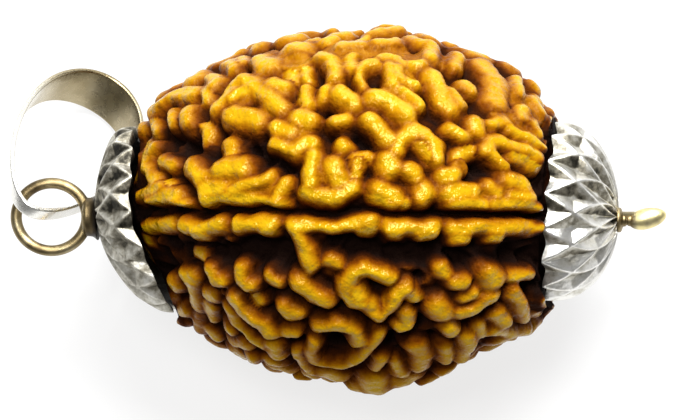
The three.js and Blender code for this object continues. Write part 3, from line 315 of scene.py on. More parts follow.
FACE_FILLS = [
    (1.6, -8.6, 2.6), (1.4, -6.8, 1.9), (1.2, -10, 3), (1.3, -5.6, 1.6), (1.4, -14.8, 1.7),
    (1.3, -8.4, 8.9), (1.7, -4.2, 12), (1.4, -6.3, 12.6), (1.3, -3.9, 6.1), (1.2, -2.8, 3.2),
    (1.8, -1.3, 12.6), (2, 1, 12.8), (2, 3.4, 12.6), (1.8, 5.4, 12), (1.5, 7.6, 11.8),
    (1.8, 10, 11.4), (2, 12, 9.6), (1.8, 11.5, 8), (1.8, 13.6, 8.2), (1.5, 13.2, 6.6),
    (1.3, 4.4, 10.6), (1, 3.3, 9.9), (1.2, -1.2, 3.2), (0.9, 0.5, 4), (1.2, 3, 1.8),
    (1.1, 5.2, 1.6), (1.4, 8, 1.6), (1.4, 9.8, 1.5), (1.4, 11.6, 1.6), (1.3, 13.2, 1.6),
    (1.1, 7.3, 2.5), (1, 8.3, 3.7), (1, 0.6, -6.3), (1.2, 3.2, -6.6), (1.1, -13.1, -6.9),
    (1, -12.6, -7.6),
]


# Geometry helpers

def face_to_row(points):
    """Points in the face frame, in millimetres, to the row frame, in metres."""
    points = np.asarray(points, float).reshape(-1, 3)
    cos, sin = math.cos(LAY_ANGLE), math.sin(LAY_ANGLE)
    x, y, z = points.T
    turned = np.stack([x, AXIS_Y + y * cos - z * sin, AXIS_HEIGHT + y * sin + z * cos], 1)
    return turned * MM


def ring_faces(rings, count, closed_rings=False):
    """Faces that join rings of equally many points, every ring closed on itself."""
    i = np.arange(rings if closed_rings else rings - 1)[:, None]
    j = np.arange(count)[None, :]
    nxt, right = (i + 1) % rings, (j + 1) % count
    quads = np.stack([i * count + j, nxt * count + j, nxt * count + right, i * count + right], -1)
    return quads.reshape(-1, 4)


def make_mesh(name, points, faces, material, attributes=None):
    mesh = bpy.data.meshes.new(name)
    mesh.from_pydata(points.tolist(), [], faces.tolist())
    for key, values in (attributes or {}).items():
        layer = mesh.attributes.new(key, "FLOAT", "POINT")
        layer.data.foreach_set("value", np.asarray(values, np.float32))
    mesh.polygons.foreach_set("use_smooth", np.ones(len(mesh.polygons), bool))
    mesh.materials.append(material)
    mesh.validate()
    piece = bpy.data.objects.new(name, mesh)
    bpy.context.scene.collection.objects.link(piece)
    return piece


def smoothstep(low, high, value):
    t = np.clip((value - low) / (high - low), 0, 1)
    return t * t * (3 - 2 * t)


def lattice_noise(points, size, seed):
    """Smooth noise from -1 to 1 on an (n, 3) array, with features of about the given size."""
    p = points / size
    cell = np.floor(p).astype(np.int64)
    f = p - cell
    f = f * f * (3 - 2 * f)
    total = np.zeros(len(points))
    for corner in range(8):
        dx, dy, dz = corner & 1, (corner >> 1) & 1, (corner >> 2) & 1
        h = (cell[:, 0] + dx) * 73856093
        h = h ^ (cell[:, 1] + dy) * 19349663
        h = h ^ (cell[:, 2] + dz) * 83492791
        h = (h ^ (seed * 2654435761)) & 0xFFFFFFFF
        h = ((h ^ (h >> 15)) * 2246822519) & 0xFFFFFFFF
        h = ((h ^ (h >> 13)) * 3266489917) & 0xFFFFFFFF
        value = ((h ^ (h >> 16)) & 0xFFFF) / 32767.5 - 1
        weight = (f[:, 0] if dx else 1 - f[:, 0]) * (f[:, 1] if dy else 1 - f[:, 1])
        total += value * weight * (f[:, 2] if dz else 1 - f[:, 2])
    return total


def seeded_random(seed):
    """The run of numbers from 0 to 1 that the CAD model draws for the same seed."""
    state = seed

    def imul(a, b):
        return (a * b) & 0xFFFFFFFF

    def draw():
        nonlocal state
        state = (state + 0x6D2B79F5) & 0xFFFFFFFF
        t = imul(state ^ (state >> 15), 1 | state)
        t = ((t + imul(t ^ (t >> 7), 61 | t)) & 0xFFFFFFFF) ^ t
        return ((t ^ (t >> 14)) & 0xFFFFFFFF) / 4294967296
    return draw


# Seed

def rim_lean(cap, y):
    bent = np.where(y < 0, y, cap["bend"] * np.tanh(y / cap["bend"]))
    return cap["tilt"] * bent + cap["curl"] * smoothstep(4, 9, y)


def cap_surface_x(cap, y, r, inset):
    rho = np.minimum(r / (cap["radius"] - inset), 1)
    dome = (cap["depth"] - inset) * np.sqrt(1 - rho ** cap["fullness"])
    lean = rim_lean(cap, y) * np.minimum(r / cap["radius"], 1) ** 0.6
    return cap["rim_x"] + cap["side"] * dome - lean


def cap_lift(cap, x):
    from_top = cap["side"] * (cap["rim_x"] - x) / cap["depth"] + 1
    return cap["lift"] * np.clip(from_top, 0, 1)


def seed_points(t, theta, height):
    radius = (SEED_RADIUS + height) * np.cos(t)
    along = (SEED_HALF_LENGTH + height) * np.sin(t)
    y = radius * np.sin(theta) + BORE_OFFSET * np.cos(t) ** 2
    z = radius * np.cos(theta)
    lean = rim_lean(EYE_CAP, y) * smoothstep(6, 15, -along)
    return np.stack([SEED_MIDDLE_X + along - lean, y, z], -1)


def swell(points):
    total = np.zeros(len(points))
    for amount, spread, x, y in SWELLS:
        away2 = ((points - (x, y, 0)) ** 2).sum(1)
        total += amount * np.exp(-away2 / (2 * spread ** 2))
    return total


def face_to_seed(seen):
    seen_x, y = seen
    x, z = seen_x, 0.0
    for _ in range(6):
        lean = float(rim_lean(EYE_CAP, y) * smoothstep(6, 15, -(x - SEED_MIDDLE_X)))
        sine = (x + lean - SEED_MIDDLE_X) / SEED_HALF_LENGTH
        cosine2 = max(1 - sine * sine, 0)
        off = y - BORE_OFFSET * cosine2
        z = math.sqrt(max(SEED_RADIUS ** 2 * cosine2 - off * off, 0))
        x = (seen_x + z * math.sin(FACE_TURN)) / math.cos(FACE_TURN)
    return np.array([x, y, z])


def distance_to_path(points, path):
    best = np.full(len(points), np.inf)
    for a, b in zip(path[:-1], path[1:]):
        ab, ap = b - a, points - a
        length2 = float(ab @ ab)
        s = np.clip(ap @ ab / length2, 0, 1) if length2 > 0 else np.zeros(len(points))
        best = np.minimum(best, np.linalg.norm(ap - s[:, None] * ab, axis=1))
    return best


def distance_to_furrow(points, t, theta):
    turn = 2 * math.pi / FACE_LINES
    line = np.round(theta / turn)
    across = np.abs(points[..., 1] - FACE_LINE_Y - FACE_LINE_SLOPE * points[..., 0])
    around = np.abs(theta - line * turn) * SEED_RADIUS * np.cos(t)
    return np.where(line % FACE_LINES == 0, across, around)


def above_face_line(points):
    """1 above the face line that looks up, 0 below it, 0.5 on the seed's other side."""
    x, y, z = points.T
    return np.where(z < 0, 0.5, y > FACE_LINE_Y + FACE_LINE_SLOPE * x)


def lay_ridges():
    """Every ridge of the seed: those of the face, then the ones that the rule throws on."""
    ridges = []
    for half, drop, path in FACE_RIDGES:
        ridges.append((half, drop, np.array([face_to_seed(p) for p in path])))
    hollows = [(radius, face_to_seed((x, y))) for radius, x, y in FACE_HOLLOWS]
    fills = [(radius, face_to_seed((x, y))) for radius, x, y in FACE_FILLS]
    random = seeded_random(RIDGE_SEED)

    def room(p, half, gap):
        if any(math.dist(p, centre) <= radius + half for radius, centre in hollows):
            return False
        return all(
            distance_to_path(p[None], path)[0] > other + half + gap
            for other, _, path in ridges
            if np.abs(path[0] - p).max() < 12
        )

    for line in range(1, FACE_LINES):
        for side in (-1, 1):
            along = -0.98
            while along < 0.95:
                length = 0.13 + 0.2 * random()
                half = 0.5 + 0.25 * random()
                path = []
                for part in (0, 0.5, 1):
                    t = along + part * length
                    across = side * (FURROW_HALF + half + 0.25 * random())
                    theta = line * 2 * math.pi / FACE_LINES + across / (SEED_RADIUS * math.cos(t))
                    path.append(seed_points(t, theta, 0))
                ridges.append((half, 0.1 * random(), np.array(path)))
                along += length + 0.075

    rest_theta = math.pi + LAY_ANGLE
    rest_t = math.asin((REST_MIDDLE_X - SEED_MIDDLE_X) / SEED_HALF_LENGTH)
    turn = 2 * math.pi * np.arange(13) / 12
    ring = seed_points(
        rest_t + REST_RING[0] * np.cos(turn) / SEED_HALF_LENGTH,
        rest_theta + REST_RING[1] * np.sin(turn) / SEED_RADIUS, 0)
    knob = seed_points(rest_t + np.array([-0.03, 0.03]), rest_theta + np.zeros(2), 0)
    ridges.append((0.8, -REST_PROUD, ring))
    ridges.append((0.9, -REST_PROUD, knob))

    for half in (0.95, 0.8, 0.65, 0.5, 0.4):
        for _ in range(900):
            t = math.asin(2 * random() - 1) * 0.98
            theta = 2 * math.pi * random()
            heading = 2 * math.pi * random()
            steps = math.floor(5 * random())
            bend = 1.6 * (random() - 0.5)
            drop = 0.35 * random()
            start = seed_points(t, theta, 0)
            if distance_to_furrow(start, t, theta) < FURROW_HALF + half + 1.2:
                continue
            if not room(start, half, 0.3):
                continue
            path = [start]
            for _ in range(steps):
                t += 0.75 * math.cos(heading) / SEED_HALF_LENGTH
                theta += 0.75 * math.sin(heading) / (SEED_RADIUS * max(math.cos(t), 0.2))
                heading += bend
                following = seed_points(t, theta, 0)
                if distance_to_furrow(following, t, theta) < FURROW_HALF + half + 0.6:
                    break
                if not room(following, half, 0.2):
                    break
                path.append(following)
            if len(path) == 1:
                path.append(seed_points(t + 0.01, theta, 0))
            ridges.append((half, drop, np.array(path)))

    for i in range(180):
        t = math.asin(2 * random() - 1) * 0.9
        theta = 2 * math.pi * random()
        radius = 0.7 + 0.7 * random()
        if math.cos(theta) < -0.1:
            (hollows if i < 90 else fills).append((radius, seed_points(t, theta, 0)))
    return ridges, hollows, fills


def tissue(points, hollows, fills):
    """How far the lumpy tissue between the ridges rises from the floor. Hollows go through it."""
    x, y, z = points.T
    lumps = np.sin(2.1 * x + 1.3 * np.sin(1.7 * y)) * np.sin(2.0 * y + 1.2 * np.sin(1.5 * z + 1))
    lumps = lumps + 0.5 * np.sin(1.3 * x + 2.2 * z)
    rise = TISSUE_RISE * (0.62 + 0.25 * lumps)
    for radius, centre in fills:
        filled = 1 - smoothstep(0.6 * radius, 1.3 * radius, np.linalg.norm(points - centre, axis=1))
        rise = np.maximum(rise, FILL_SHARE * RELIEF_DEPTH * filled)
    for radius, centre in hollows:
        away = np.linalg.norm(points - centre, axis=1)
        rise = rise * smoothstep(0.5 * radius, 1.25 * radius, away)
    return rise


def relief(t, theta):
    """Height below the crowns, and for the colours how near a point is to the crest of its
    ridge and the ridge's own tone."""
    points = seed_points(t, theta, 0)
    moved = points
    for amount, size, seeds in WOBBLES:
        moved = moved + np.stack([lattice_noise(points, size, k) for k in seeds], 1) * amount
    ridges, hollows, fills = lay_ridges()
    rise = tissue(moved, hollows, fills)
    tone = np.full(len(points), 0.9)
    # Low tissue is coloured darker: its own darker tone, deepened with painted shade.
    crest = np.clip(rise / RELIEF_DEPTH, 0, 1) ** TISSUE_CREST_POWER
    stout = STOUTNESS[0] * lattice_noise(points, *STOUTNESS[1:])
    above = above_face_line(moved)
    random = seeded_random(TONE_SEED)
    for half, drop, path in ridges:
        own_tone = 0.7 * random() + 0.6 * max(drop, 0)
        half = half * RIDGE_GROWTH
        widest = 1.3 * half + RIDGE_FLANK
        low, high = path.min(0) - widest, path.max(0) + widest
        near = np.flatnonzero(((moved > low) & (moved < high)).all(1))
        if not len(near):
            continue
        core = 0.2 * half
        reach = half * (1 + stout[near]) + RIDGE_FLANK
        fall = np.clip((distance_to_path(moved[near], path) - core) / (reach - core), 0, 1)
        own = (RELIEF_DEPTH - drop) * (1 - fall ** 2) ** 0.62
        own = own * (np.abs(above[near] - above_face_line(path[:1])) < 1)
        taller = own > rise[near]
        meet = np.clip(1 - np.abs(own - rise[near]) / RIDGE_BLEND, 0, 1)
        meet = meet * np.clip(4 * (1 - fall), 0, 1)
        tone[near] = np.where(taller, own_tone, tone[near])
        crest[near] = np.where(taller, 1 - fall, crest[near])
        rise[near] = np.maximum(own, rise[near]) + RIDGE_BLEND / 4 * meet ** 2
    furrow = smoothstep(0, FURROW_HALF + 0.25, distance_to_furrow(moved, t, theta))
    rise = rise * (0.35 + 0.65 * furrow)
    # The face line's furrow is coloured darker: its own dark line, deepened with painted shade.
    crest = crest * (0.3 + 0.7 * furrow)
    up = rise / RELIEF_DEPTH
    crown = lattice_noise(points, 1.3, 4) * 0.17 + lattice_noise(points, 0.5, 5) * 0.07
    floor = lattice_noise(points, 0.6, 6) * 0.16
    height = rise - RELIEF_DEPTH + crown * smoothstep(0.4, 0.9, up)
    height = height + floor * (1 - smoothstep(0.1, 0.6, up))
    return height, dict(crest=crest, tone=tone)


def fit_to_cap(points, cap):
    """Keeps seed points under a cap's dome, below its rim, and off it outside the rim."""
    y = points[:, 1] - cap_lift(cap, points[:, 0])
    r = np.hypot(y, points[:, 2])
    shoulder = np.maximum(r - cap["radius"] - GAP, 0)
    dome = cap_surface_x(cap, y, r, SHEET + GAP) - cap["side"] * GAP
    rim = cap_surface_x(cap, y, cap["radius"], 0) + cap["side"] * (shoulder - CAP_TIP - GAP)
    limit = np.where(r < cap["radius"] - RIM_SHELF, dome, rim)
    pick = np.maximum if cap["side"] < 0 else np.minimum
    points[:, 0] = pick(points[:, 0], limit)


def make_seed(material):
    around, open_rings, capped_rings = 456, 206, 6
    open_angle, end_angle = 1.14, math.acos(BORE_RADIUS / SEED_RADIUS)
    capped = np.linspace(end_angle, open_angle, capped_rings, endpoint=False)
    shown = np.linspace(-open_angle, open_angle, open_rings)
    angles = np.concatenate([-capped, shown, capped[::-1]])
    turns = np.linspace(0, 2 * math.pi, around, endpoint=False)
    t, theta = np.meshgrid(angles, turns, indexing="ij")
    t, theta = t.ravel(), theta.ravel()
    height, marks = relief(t, theta)
    hidden = np.abs(t) > open_angle + 1e-6
    height = np.where(hidden, SEED_END_HEIGHT, height + swell(seed_points(t, theta, 0)))
    points = seed_points(t, theta, height)
    free = points[:, 0].copy()
    fit_to_cap(points, EYE_CAP)
    fit_to_cap(points, HEAD_CAP)
    # Painted shade: the seed is coloured darker where the caps press it in and within about 1 mm of
    # their rims.
    marks["crest"] = marks["crest"] * (1 - smoothstep(0.1, 0.6, np.abs(points[:, 0] - free)))
    painted_rim_shade = 1 - smoothstep(0.2, 1.1, distance_to_rims(points))
    marks["crest"] = marks["crest"] ** (1 + 3 * painted_rim_shade)
    # Painted shade: the gloss falls by up to 85% towards the seed's lower side, so that it does not
    # show the bright floor there.
    marks["painted_shade_on_gloss"] = 1 - 0.85 * smoothstep(5, 11, -points[:, 1])
    row = face_to_row(points)
    row[:, 2] = np.maximum(row[:, 2], 0)
    faces = ring_faces(len(angles), around, closed_rings=True)
    piece = make_mesh("seed_skin", row, faces, material, marks)
    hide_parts("seed")
    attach(piece, "root")
    return piece


def distance_to_rims(points):
    """How far points lie along the pin from the nearer cap's rim."""
    rims = []
    for cap in (EYE_CAP, HEAD_CAP):
        rims.append(np.abs(points[:, 0] - cap_surface_x(cap, points[:, 1], cap["radius"], 0)))
    return np.minimum(*rims)


# Caps

def make_cap(name, cap, material, seed):
    """A cap. Its mark of painted shade is high on facets that look down the face, which are painted
    darker as if in shade.
    """
    around, outer_rows, inner_rows = PETALS * FACET_ROWS_PER_PETAL, 100, 16
    turn = np.arange(around) * PETALS / around
    # Random per cell: how strong the painted shade in each cell's hollow is.
    random_darkening = np.random.default_rng(seed).random((2 * PETALS, 2 * PETALS))
    rings, plain, marks, shades = [], [], [], []
    for k in range(outer_rows + 1):
        out = CAP_PETAL_ROWS * k / outer_rows
        lines = [turn + out + 0.5, turn - out - 0.5]
        ribs = np.minimum(*[np.abs(v - np.round(v)) for v in lines])
        cell = np.clip((ribs - 0.035) / 0.36, 0, 1) ** 0.85
        slope = cap_slope(cap, k / outer_rows)
        rings.append(cap_ring(cap, turn, slope, 0, CAP_DISH * cell))
        plain.append(cap_ring(cap, turn, slope, 0, 0 * turn))
        marks.append(cell)
        first, second = [np.floor(v).astype(int) for v in lines]
        shades.append(random_darkening[first % PETALS, second % PETALS])
    # Painted shade: facets that look down the face are marked to be coloured darker, and the cap's
    # inside is marked fully.
    lean = sheet_normals(rings)[..., 1] - sheet_normals(plain)[..., 1]
    near_rim = np.linspace(0, 1, outer_rows + 1)[:, None] ** 2
    painted_shade = np.clip(-1.3 * lean, 0, 1) * (0.7 + 0.3 * near_rim)
    for k in range(inner_rows, -1, -1):
        rings.append(cap_ring(cap, turn, cap_slope(cap, k / inner_rows), SHEET, 0 * turn))
        marks.append(np.full(around, 0.6))
        shades.append(np.full(around, 0.5))
    points = np.concatenate(rings)
    faces = ring_faces(len(rings), around, closed_rings=True)
    if cap["side"] > 0:
        faces = faces[:, ::-1]
    painted_shade = np.concatenate([painted_shade.ravel(), np.ones((inner_rows + 1) * around)])
    marks = dict(hollow=np.concatenate(marks), shade=np.concatenate(shades), painted_shade=painted_shade)
    piece = make_mesh(name + "_silver", face_to_row(points), faces, material, marks)
    piece.data.set_sharp_from_angle(angle=math.radians(50))
    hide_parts(name)
    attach(piece, "root")
    return piece


def sheet_normals(rings):
    """Normals of a sheet drawn as rings, all out of the cap."""
    grid = np.array(rings)
    normals = np.cross(np.roll(grid, -1, 1) - np.roll(grid, 1, 1), np.gradient(grid, axis=0))
    normals /= np.linalg.norm(normals, axis=-1, keepdims=True)
    return normals * np.sign((normals[..., 1:] * grid[..., 1:]).sum(-1, keepdims=True))


def cap_slope(cap, share):
    """How far a cap's sheet slopes from square to the pin, from its hole to its rim."""
    hole = math.asin(CAP_HOLE_RADIUS / cap["radius"])
    return hole + (math.pi / 2 - hole) * share ** CAP_ROW_GROWTH


def cap_ring(cap, turn, slope, inset, dish):
    phi = 2 * math.pi * (turn + cap["turn"]) / PETALS
    r = math.sin(slope) * (cap["radius"] - inset)
    tip = CAP_TIP * np.cos(math.pi * turn) ** 2 * math.sin(slope) ** 60
    surface = cap_surface_x(cap, r * np.sin(phi), r, inset)
    x = surface - cap["side"] * (dish * math.cos(slope) + tip)
    dished = r - dish * math.sin(slope)
    return np.stack([x, dished * np.sin(phi) + cap_lift(cap, surface), dished * np.cos(phi)], 1)


# Pin

def lathe_points(profile, around):
    angle = np.linspace(0, 2 * math.pi, around, endpoint=False)
    rings = []
    for x, r in profile:
        rings.append(np.stack([np.full(around, x), r * np.sin(angle), r * np.cos(angle)], 1))
    return np.concatenate(rings), ring_faces(len(profile), around)


def round_profile(corners, steps=6):
    """A profile whose corners are rounded off by cutting them again and again."""
    points = np.array(corners, float)
    for _ in range(steps):
        a, b = points[:-1], points[1:]
        cut = np.stack([0.75 * a + 0.25 * b, 0.25 * a + 0.75 * b], 1).reshape(-1, 2)
        points = np.concatenate([points[:1], cut, points[-1:]])
    return points


def make_pin(material):
    neck_x = EYE_X + EYE_STRETCH * EYE_RADIUS
    neck_end = EYE_CAP["rim_x"] - EYE_CAP["depth"] - GAP
    head = HEAD_CAP["rim_x"] + HEAD_CAP["depth"] + GAP
    touch = EYE_CAP["rim_x"] - EYE_CAP["depth"] + 0.04
    neck = round_profile([
        (neck_x - 0.3, 0.01), (neck_x - 0.3, 1.1), (neck_x - 0.05, 1.45), (neck_x + 0.25, 1.45),
        (neck_end, 1.5), (touch - 0.05, 1.78), (touch, 1.7), (touch, 0.01)], 3)
    shaft = [(touch, WIRE_RADIUS), (head + 0.9, WIRE_RADIUS), (head + 0.9, 0.01)]
    collars = round_profile([
        (-0.45, 0.01), (-0.45, 0.85), (-0.3, 0.95), (-0.1, 0.9), (0, 0.6), (0.06, 0.5),
        (0.24, 0.5), (0.28, 0.4), (0.36, 0.38), (0.42, 0.47), (0.68, 0.48), (0.74, 0.36),
        (1.1, 0.3), (1.1, 0.01)], 3)
    turn = np.linspace(0, math.pi, 40)
    lengthways = -DROP_HALF_LENGTH * np.cos(turn)
    drop = np.stack([lengthways, DROP_RADIUS * np.sin(turn) * (1 + 0.08 * np.cos(turn)) + 0.002], 1)
    pieces = [lathe_points(np.concatenate([neck, shaft]), 64)]
    points, faces = lathe_points(collars, 40)
    pieces.append((points + (head, -HEAD_SAG, 0), faces))
    points, faces = lathe_points(drop, 48)
    cos, sin = math.cos(DROP_TURN), math.sin(DROP_TURN)
    x, y, z = points.T
    turned = np.stack([x * cos - y * sin, x * sin + y * cos, z], 1)
    pieces.append((turned + (head + 1.85, -HEAD_SAG / 2, 0), faces))
    pieces.append(make_eye())
    starts = np.cumsum([0] + [len(points) for points, _ in pieces[:-1]])
    faces = np.concatenate([faces + start for (_, faces), start in zip(pieces, starts)])
    points = np.concatenate([points for points, _ in pieces])
    x = points[:, 0]
    # Lighter at the head end; painted shade along the neck, darkest where it meets the eye cap.
    painted_neck_shade = smoothstep(neck_x - 0.2, neck_x + 0.2, x) + smoothstep(touch - 0.5, touch - 0.1, x)
    painted_neck_shade = (x < 0) * painted_neck_shade
    head_lighter_neck_shaded = {"head_lighter_neck_shaded": smoothstep(head + 0.6, head + 1.3, x) - 0.6 * painted_neck_shade}
    piece = make_mesh("pin_wire", face_to_row(points), faces, material, head_lighter_neck_shaded)
    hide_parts("pin")
    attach(piece, "root")
    return piece


def make_eye():
    steps, around = 160, 28
    turn = np.linspace(0, 2 * math.pi, steps, endpoint=False)[:, None]
    round_wire = np.linspace(0, 2 * math.pi, around, endpoint=False)[None, :]
    radius = EYE_RADIUS + WIRE_RADIUS * np.cos(round_wire)
    x = EYE_X + EYE_STRETCH * radius * np.cos(turn)
    y = radius * np.sin(turn)
    z = WIRE_RADIUS * np.sin(round_wire) + 0 * turn
    points = np.stack([x, y, z], -1).reshape(-1, 3)
    return points, ring_faces(steps, around, closed_rings=True)[:, ::-1]


# Bail

def make_bail(material):
    steps, corner = 220, 5
    across = BAIL_AXIS / np.linalg.norm(BAIL_AXIS)
    rise = BAIL_RISE - (BAIL_RISE @ across) * across
    rise /= np.linalg.norm(rise)
    sideways = np.cross(rise, across)

    def middle(angle):
        along = BAIL_LENGTH / 2 * (1 - np.cos(angle))
        side = BAIL_HALF_WIDTH * np.sin(angle) * (1 - BAIL_EGG * np.cos(angle))
        return BAIL_HOOK + along[:, None] * rise + side[:, None] * sideways

    angle = np.linspace(0, 2 * math.pi, steps, endpoint=False)
    centre = middle(angle)
    tangent = middle(angle + 0.01) - middle(angle - 0.01)
    tangent /= np.linalg.norm(tangent, axis=1)[:, None]
    outward = np.cross(tangent, across)
    widening = np.abs(np.sin(angle / 2)) ** BAIL_TAPER
    width = BAIL_STRIP_EYE + (BAIL_STRIP_TOP - BAIL_STRIP_EYE) * widening
    thick, edge = BAIL_THICKNESS / 2, 0.15
    section = []
    for quarter, (u, v) in enumerate(((1, 1), (1, -1), (-1, -1), (-1, 1))):
        for k in range(corner):
            turn = math.pi / 2 * (1 - quarter - k / (corner - 1))
            inner = edge * (math.cos(turn) - u)
            section.append((u, inner, v * (thick - edge) + edge * math.sin(turn)))
    rings = []
    for side, inner, up in section:
        u = side * width / 2 + inner
        rings.append(centre + u[:, None] * across + up * outward)
    points = np.stack(rings, 1).reshape(-1, 3)
    # The bail gets darker and browner towards its top, away from the eye: painted shade and a painted
    # reflection of the seed.
    top = np.repeat(np.sin(angle / 2) ** 4, len(section))
    faces = ring_faces(steps, len(section), closed_rings=True)
    piece = make_mesh("bail_strip", face_to_row(points), faces, material, {"top": top})
    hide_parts("bail")
    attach(piece, "bail")
    return piece


# Materials

class Shader:
    """A material whose nodes are added and joined by short calls."""

    def __init__(self, name, **sockets):
        self.material = bpy.data.materials.new(name)
        self.material.use_nodes = True
        self.tree = self.material.node_tree
        self.surface = self.tree.nodes["Principled BSDF"]
        self.surface.inputs["Emission Color"].default_value = (1, 1, 1, 1)
        for key, value in sockets.items():
            self.surface.inputs[key.replace("_", " ")].default_value = value
        self.place = self.add("ShaderNodeTexCoord").outputs["Object"]

    def add(self, kind, inputs=None, **settings):
        node = self.tree.nodes.new(kind)
        for key, value in settings.items():
            setattr(node, key, value)
        for key, value in (inputs or {}).items():
            self.join(value, node.inputs[key])
        return node

    def join(self, value, socket):
        if isinstance(value, bpy.types.NodeSocket):
            self.tree.links.new(value, socket)
        else:
            socket.default_value = value

    def noise(self, size_mm, detail=3, roughness=0.5):
        inputs = {"Vector": self.place, "Scale": 1 / (size_mm * MM)}
        inputs.update(Detail=detail, Roughness=roughness)
        return self.add("ShaderNodeTexNoise", inputs).outputs["Fac"]

    def voronoi(self, size_mm):
        inputs = {"Vector": self.place, "Scale": 1 / (size_mm * MM)}
        return self.add("ShaderNodeTexVoronoi", inputs).outputs["Distance"]

    def ramp(self, value, stops):
        node = self.add("ShaderNodeValToRGB", {"Fac": value})
        ramp = node.color_ramp
        ramp.interpolation = "LINEAR"
        while len(ramp.elements) < len(stops):
            ramp.elements.new(0.5)
        for element, (at, colour) in zip(ramp.elements, stops):
            element.position = at
            element.color = (*colour, 1) if isinstance(colour, tuple) else (*[colour] * 3, 1)
        return node.outputs["Color"]

    def math(self, operation, *values, clamp=False):
        node = self.add("ShaderNodeMath", operation=operation, use_clamp=clamp)
        for socket, value in zip(node.inputs, values):
            self.join(value, socket)
        return node.outputs[0]

    def attribute(self, name):
        return self.add("ShaderNodeAttribute", attribute_name=name).outputs["Fac"]

    def bump(self, height, depth_mm, strength):
        inputs = {"Height": height, "Distance": depth_mm * MM, "Strength": strength}
        return self.add("ShaderNodeBump", inputs).outputs["Normal"]

    def finish(self, **links):
        for key, value in links.items():
            self.tree.links.new(value, self.surface.inputs[key.replace("_", " ")])
        return self.material


def seed_material():
    s = Shader("seed_skin", IOR=1.3, Specular_Tint=(1, 0.8, 0.35, 1))
    crest, tone, painted_shade_on_gloss = s.attribute("crest"), s.attribute("tone"), s.attribute("painted_shade_on_gloss")
    patches = s.math("SUBTRACT", s.noise(1.1, 4, 0.6), 0.5)
    broad = s.math("SUBTRACT", s.noise(7, 2), 0.5)
    spread = s.ramp(crest, [(0.0, 0.1), (0.3, 0.5)])
    edge = s.math("ADD", crest, s.math("MULTIPLY", patches, spread))
    edge = s.math("ADD", edge, s.math("MULTIPLY", broad, spread))
    edge = s.math("SUBTRACT", edge, s.math("MULTIPLY", tone, 0.1), clamp=True)
    # The skin runs from gold on the crests through orange and maroon to near black at the foot of the
    # ridges: the seed's own darker crevices, deepened with painted shade.
    skin = s.ramp(edge, [
        (0.0, (0.009, 0.004, 0.003)), (0.2, (0.03, 0.007, 0.0014)), (0.37, (0.11, 0.026, 0.001)),
        (0.53, (0.22, 0.075, 0.001)), (0.72, (0.34, 0.155, 0.0012)), (1.0, (0.43, 0.25, 0.003))])
    pores = s.ramp(s.voronoi(0.5), [(0.0, 0.0), (0.22, 1.0)])
    grain = s.noise(0.22, 2, 0.5)
    lumps = s.noise(0.7, 2, 0.5)
    height = s.math("ADD", s.math("MULTIPLY", pores, 0.25), s.math("MULTIPLY", grain, 0.3))
    height = s.math("ADD", height, s.math("MULTIPLY", lumps, 2.0))
    normal = s.bump(height, 0.16, 0.8)
    rough = s.ramp(edge, [(0.0, 0.6), (0.5, 0.3), (0.85, 0.13)])
    gloss = s.ramp(edge, [(0.2, 0.02), (0.55, 0.2), (0.9, 1.0)])
    # Painted shade: less gloss towards the seed's lower side.
    gloss = s.math("MULTIPLY", gloss, painted_shade_on_gloss)
    return s.finish(Base_Color=skin, Roughness=rough, Specular_IOR_Level=gloss, Normal=normal)


def cap_material(name, dull, painted_shade_strength):
    s = Shader(name, Metallic=1.0)
    hollow, shade, painted_shade = s.attribute("hollow"), s.attribute("shade"), s.attribute("painted_shade")
    random_darkening = s.math("SUBTRACT", s.noise(0.9, 4, 0.65), 0.5)
    # Painted shade: each cell is coloured darker towards its hollow, by a random amount per cell.
    dark = s.math("MULTIPLY", hollow, s.math("ADD", s.math("MULTIPLY", shade, 0.4), 0.05))
    # Painted shade on facets that look down the face.
    dark = s.math("ADD", dark, s.math("MULTIPLY", painted_shade, painted_shade_strength))
    dark = s.math("ADD", dark, s.math("MULTIPLY", random_darkening, 1.4))
    dark = s.math("ADD", dark, dull, clamp=True)
    colour = s.ramp(dark, [
        (0.0, (0.88, 0.87, 0.83)), (0.35, (0.6, 0.58, 0.51)), (0.65, (0.24, 0.22, 0.17)),
        (0.9, (0.05, 0.046, 0.035)), (1.0, (0.025, 0.023, 0.018))])
    scratches = s.noise(0.35, 5, 0.7)
    rough = s.ramp(dark, [(0.0, 0.3 + 0.6 * dull), (1.0, 0.55)])
    return s.finish(Base_Color=colour, Roughness=rough, Normal=s.bump(scratches, 0.06, 0.8))


def wire_material():
    s = Shader("wire_silver", Metallic=1.0)
    # Lighter at the head; painted shade on the neck, over noise tarnish.
    head_lighter_neck_shaded = s.math("MULTIPLY", s.attribute("head_lighter_neck_shaded"), 0.4)
    tarnish_and_shade = s.math("SUBTRACT", s.noise(2.0, 4, 0.55), head_lighter_neck_shaded, clamp=True)
    colour = s.ramp(tarnish_and_shade, [
        (0.1, (0.85, 0.74, 0.36)), (0.3, (0.4, 0.34, 0.21)), (0.5, (0.26, 0.2, 0.1)),
        (0.7, (0.11, 0.08, 0.04)), (0.95, (0.02, 0.015, 0.01))])
    rough = s.ramp(s.noise(0.6, 4), [(0.3, 0.35), (0.75, 0.5)])
    return s.finish(Base_Color=colour, Roughness=rough, Normal=s.bump(s.noise(0.3, 5, 0.7), 0.03, 0.6))


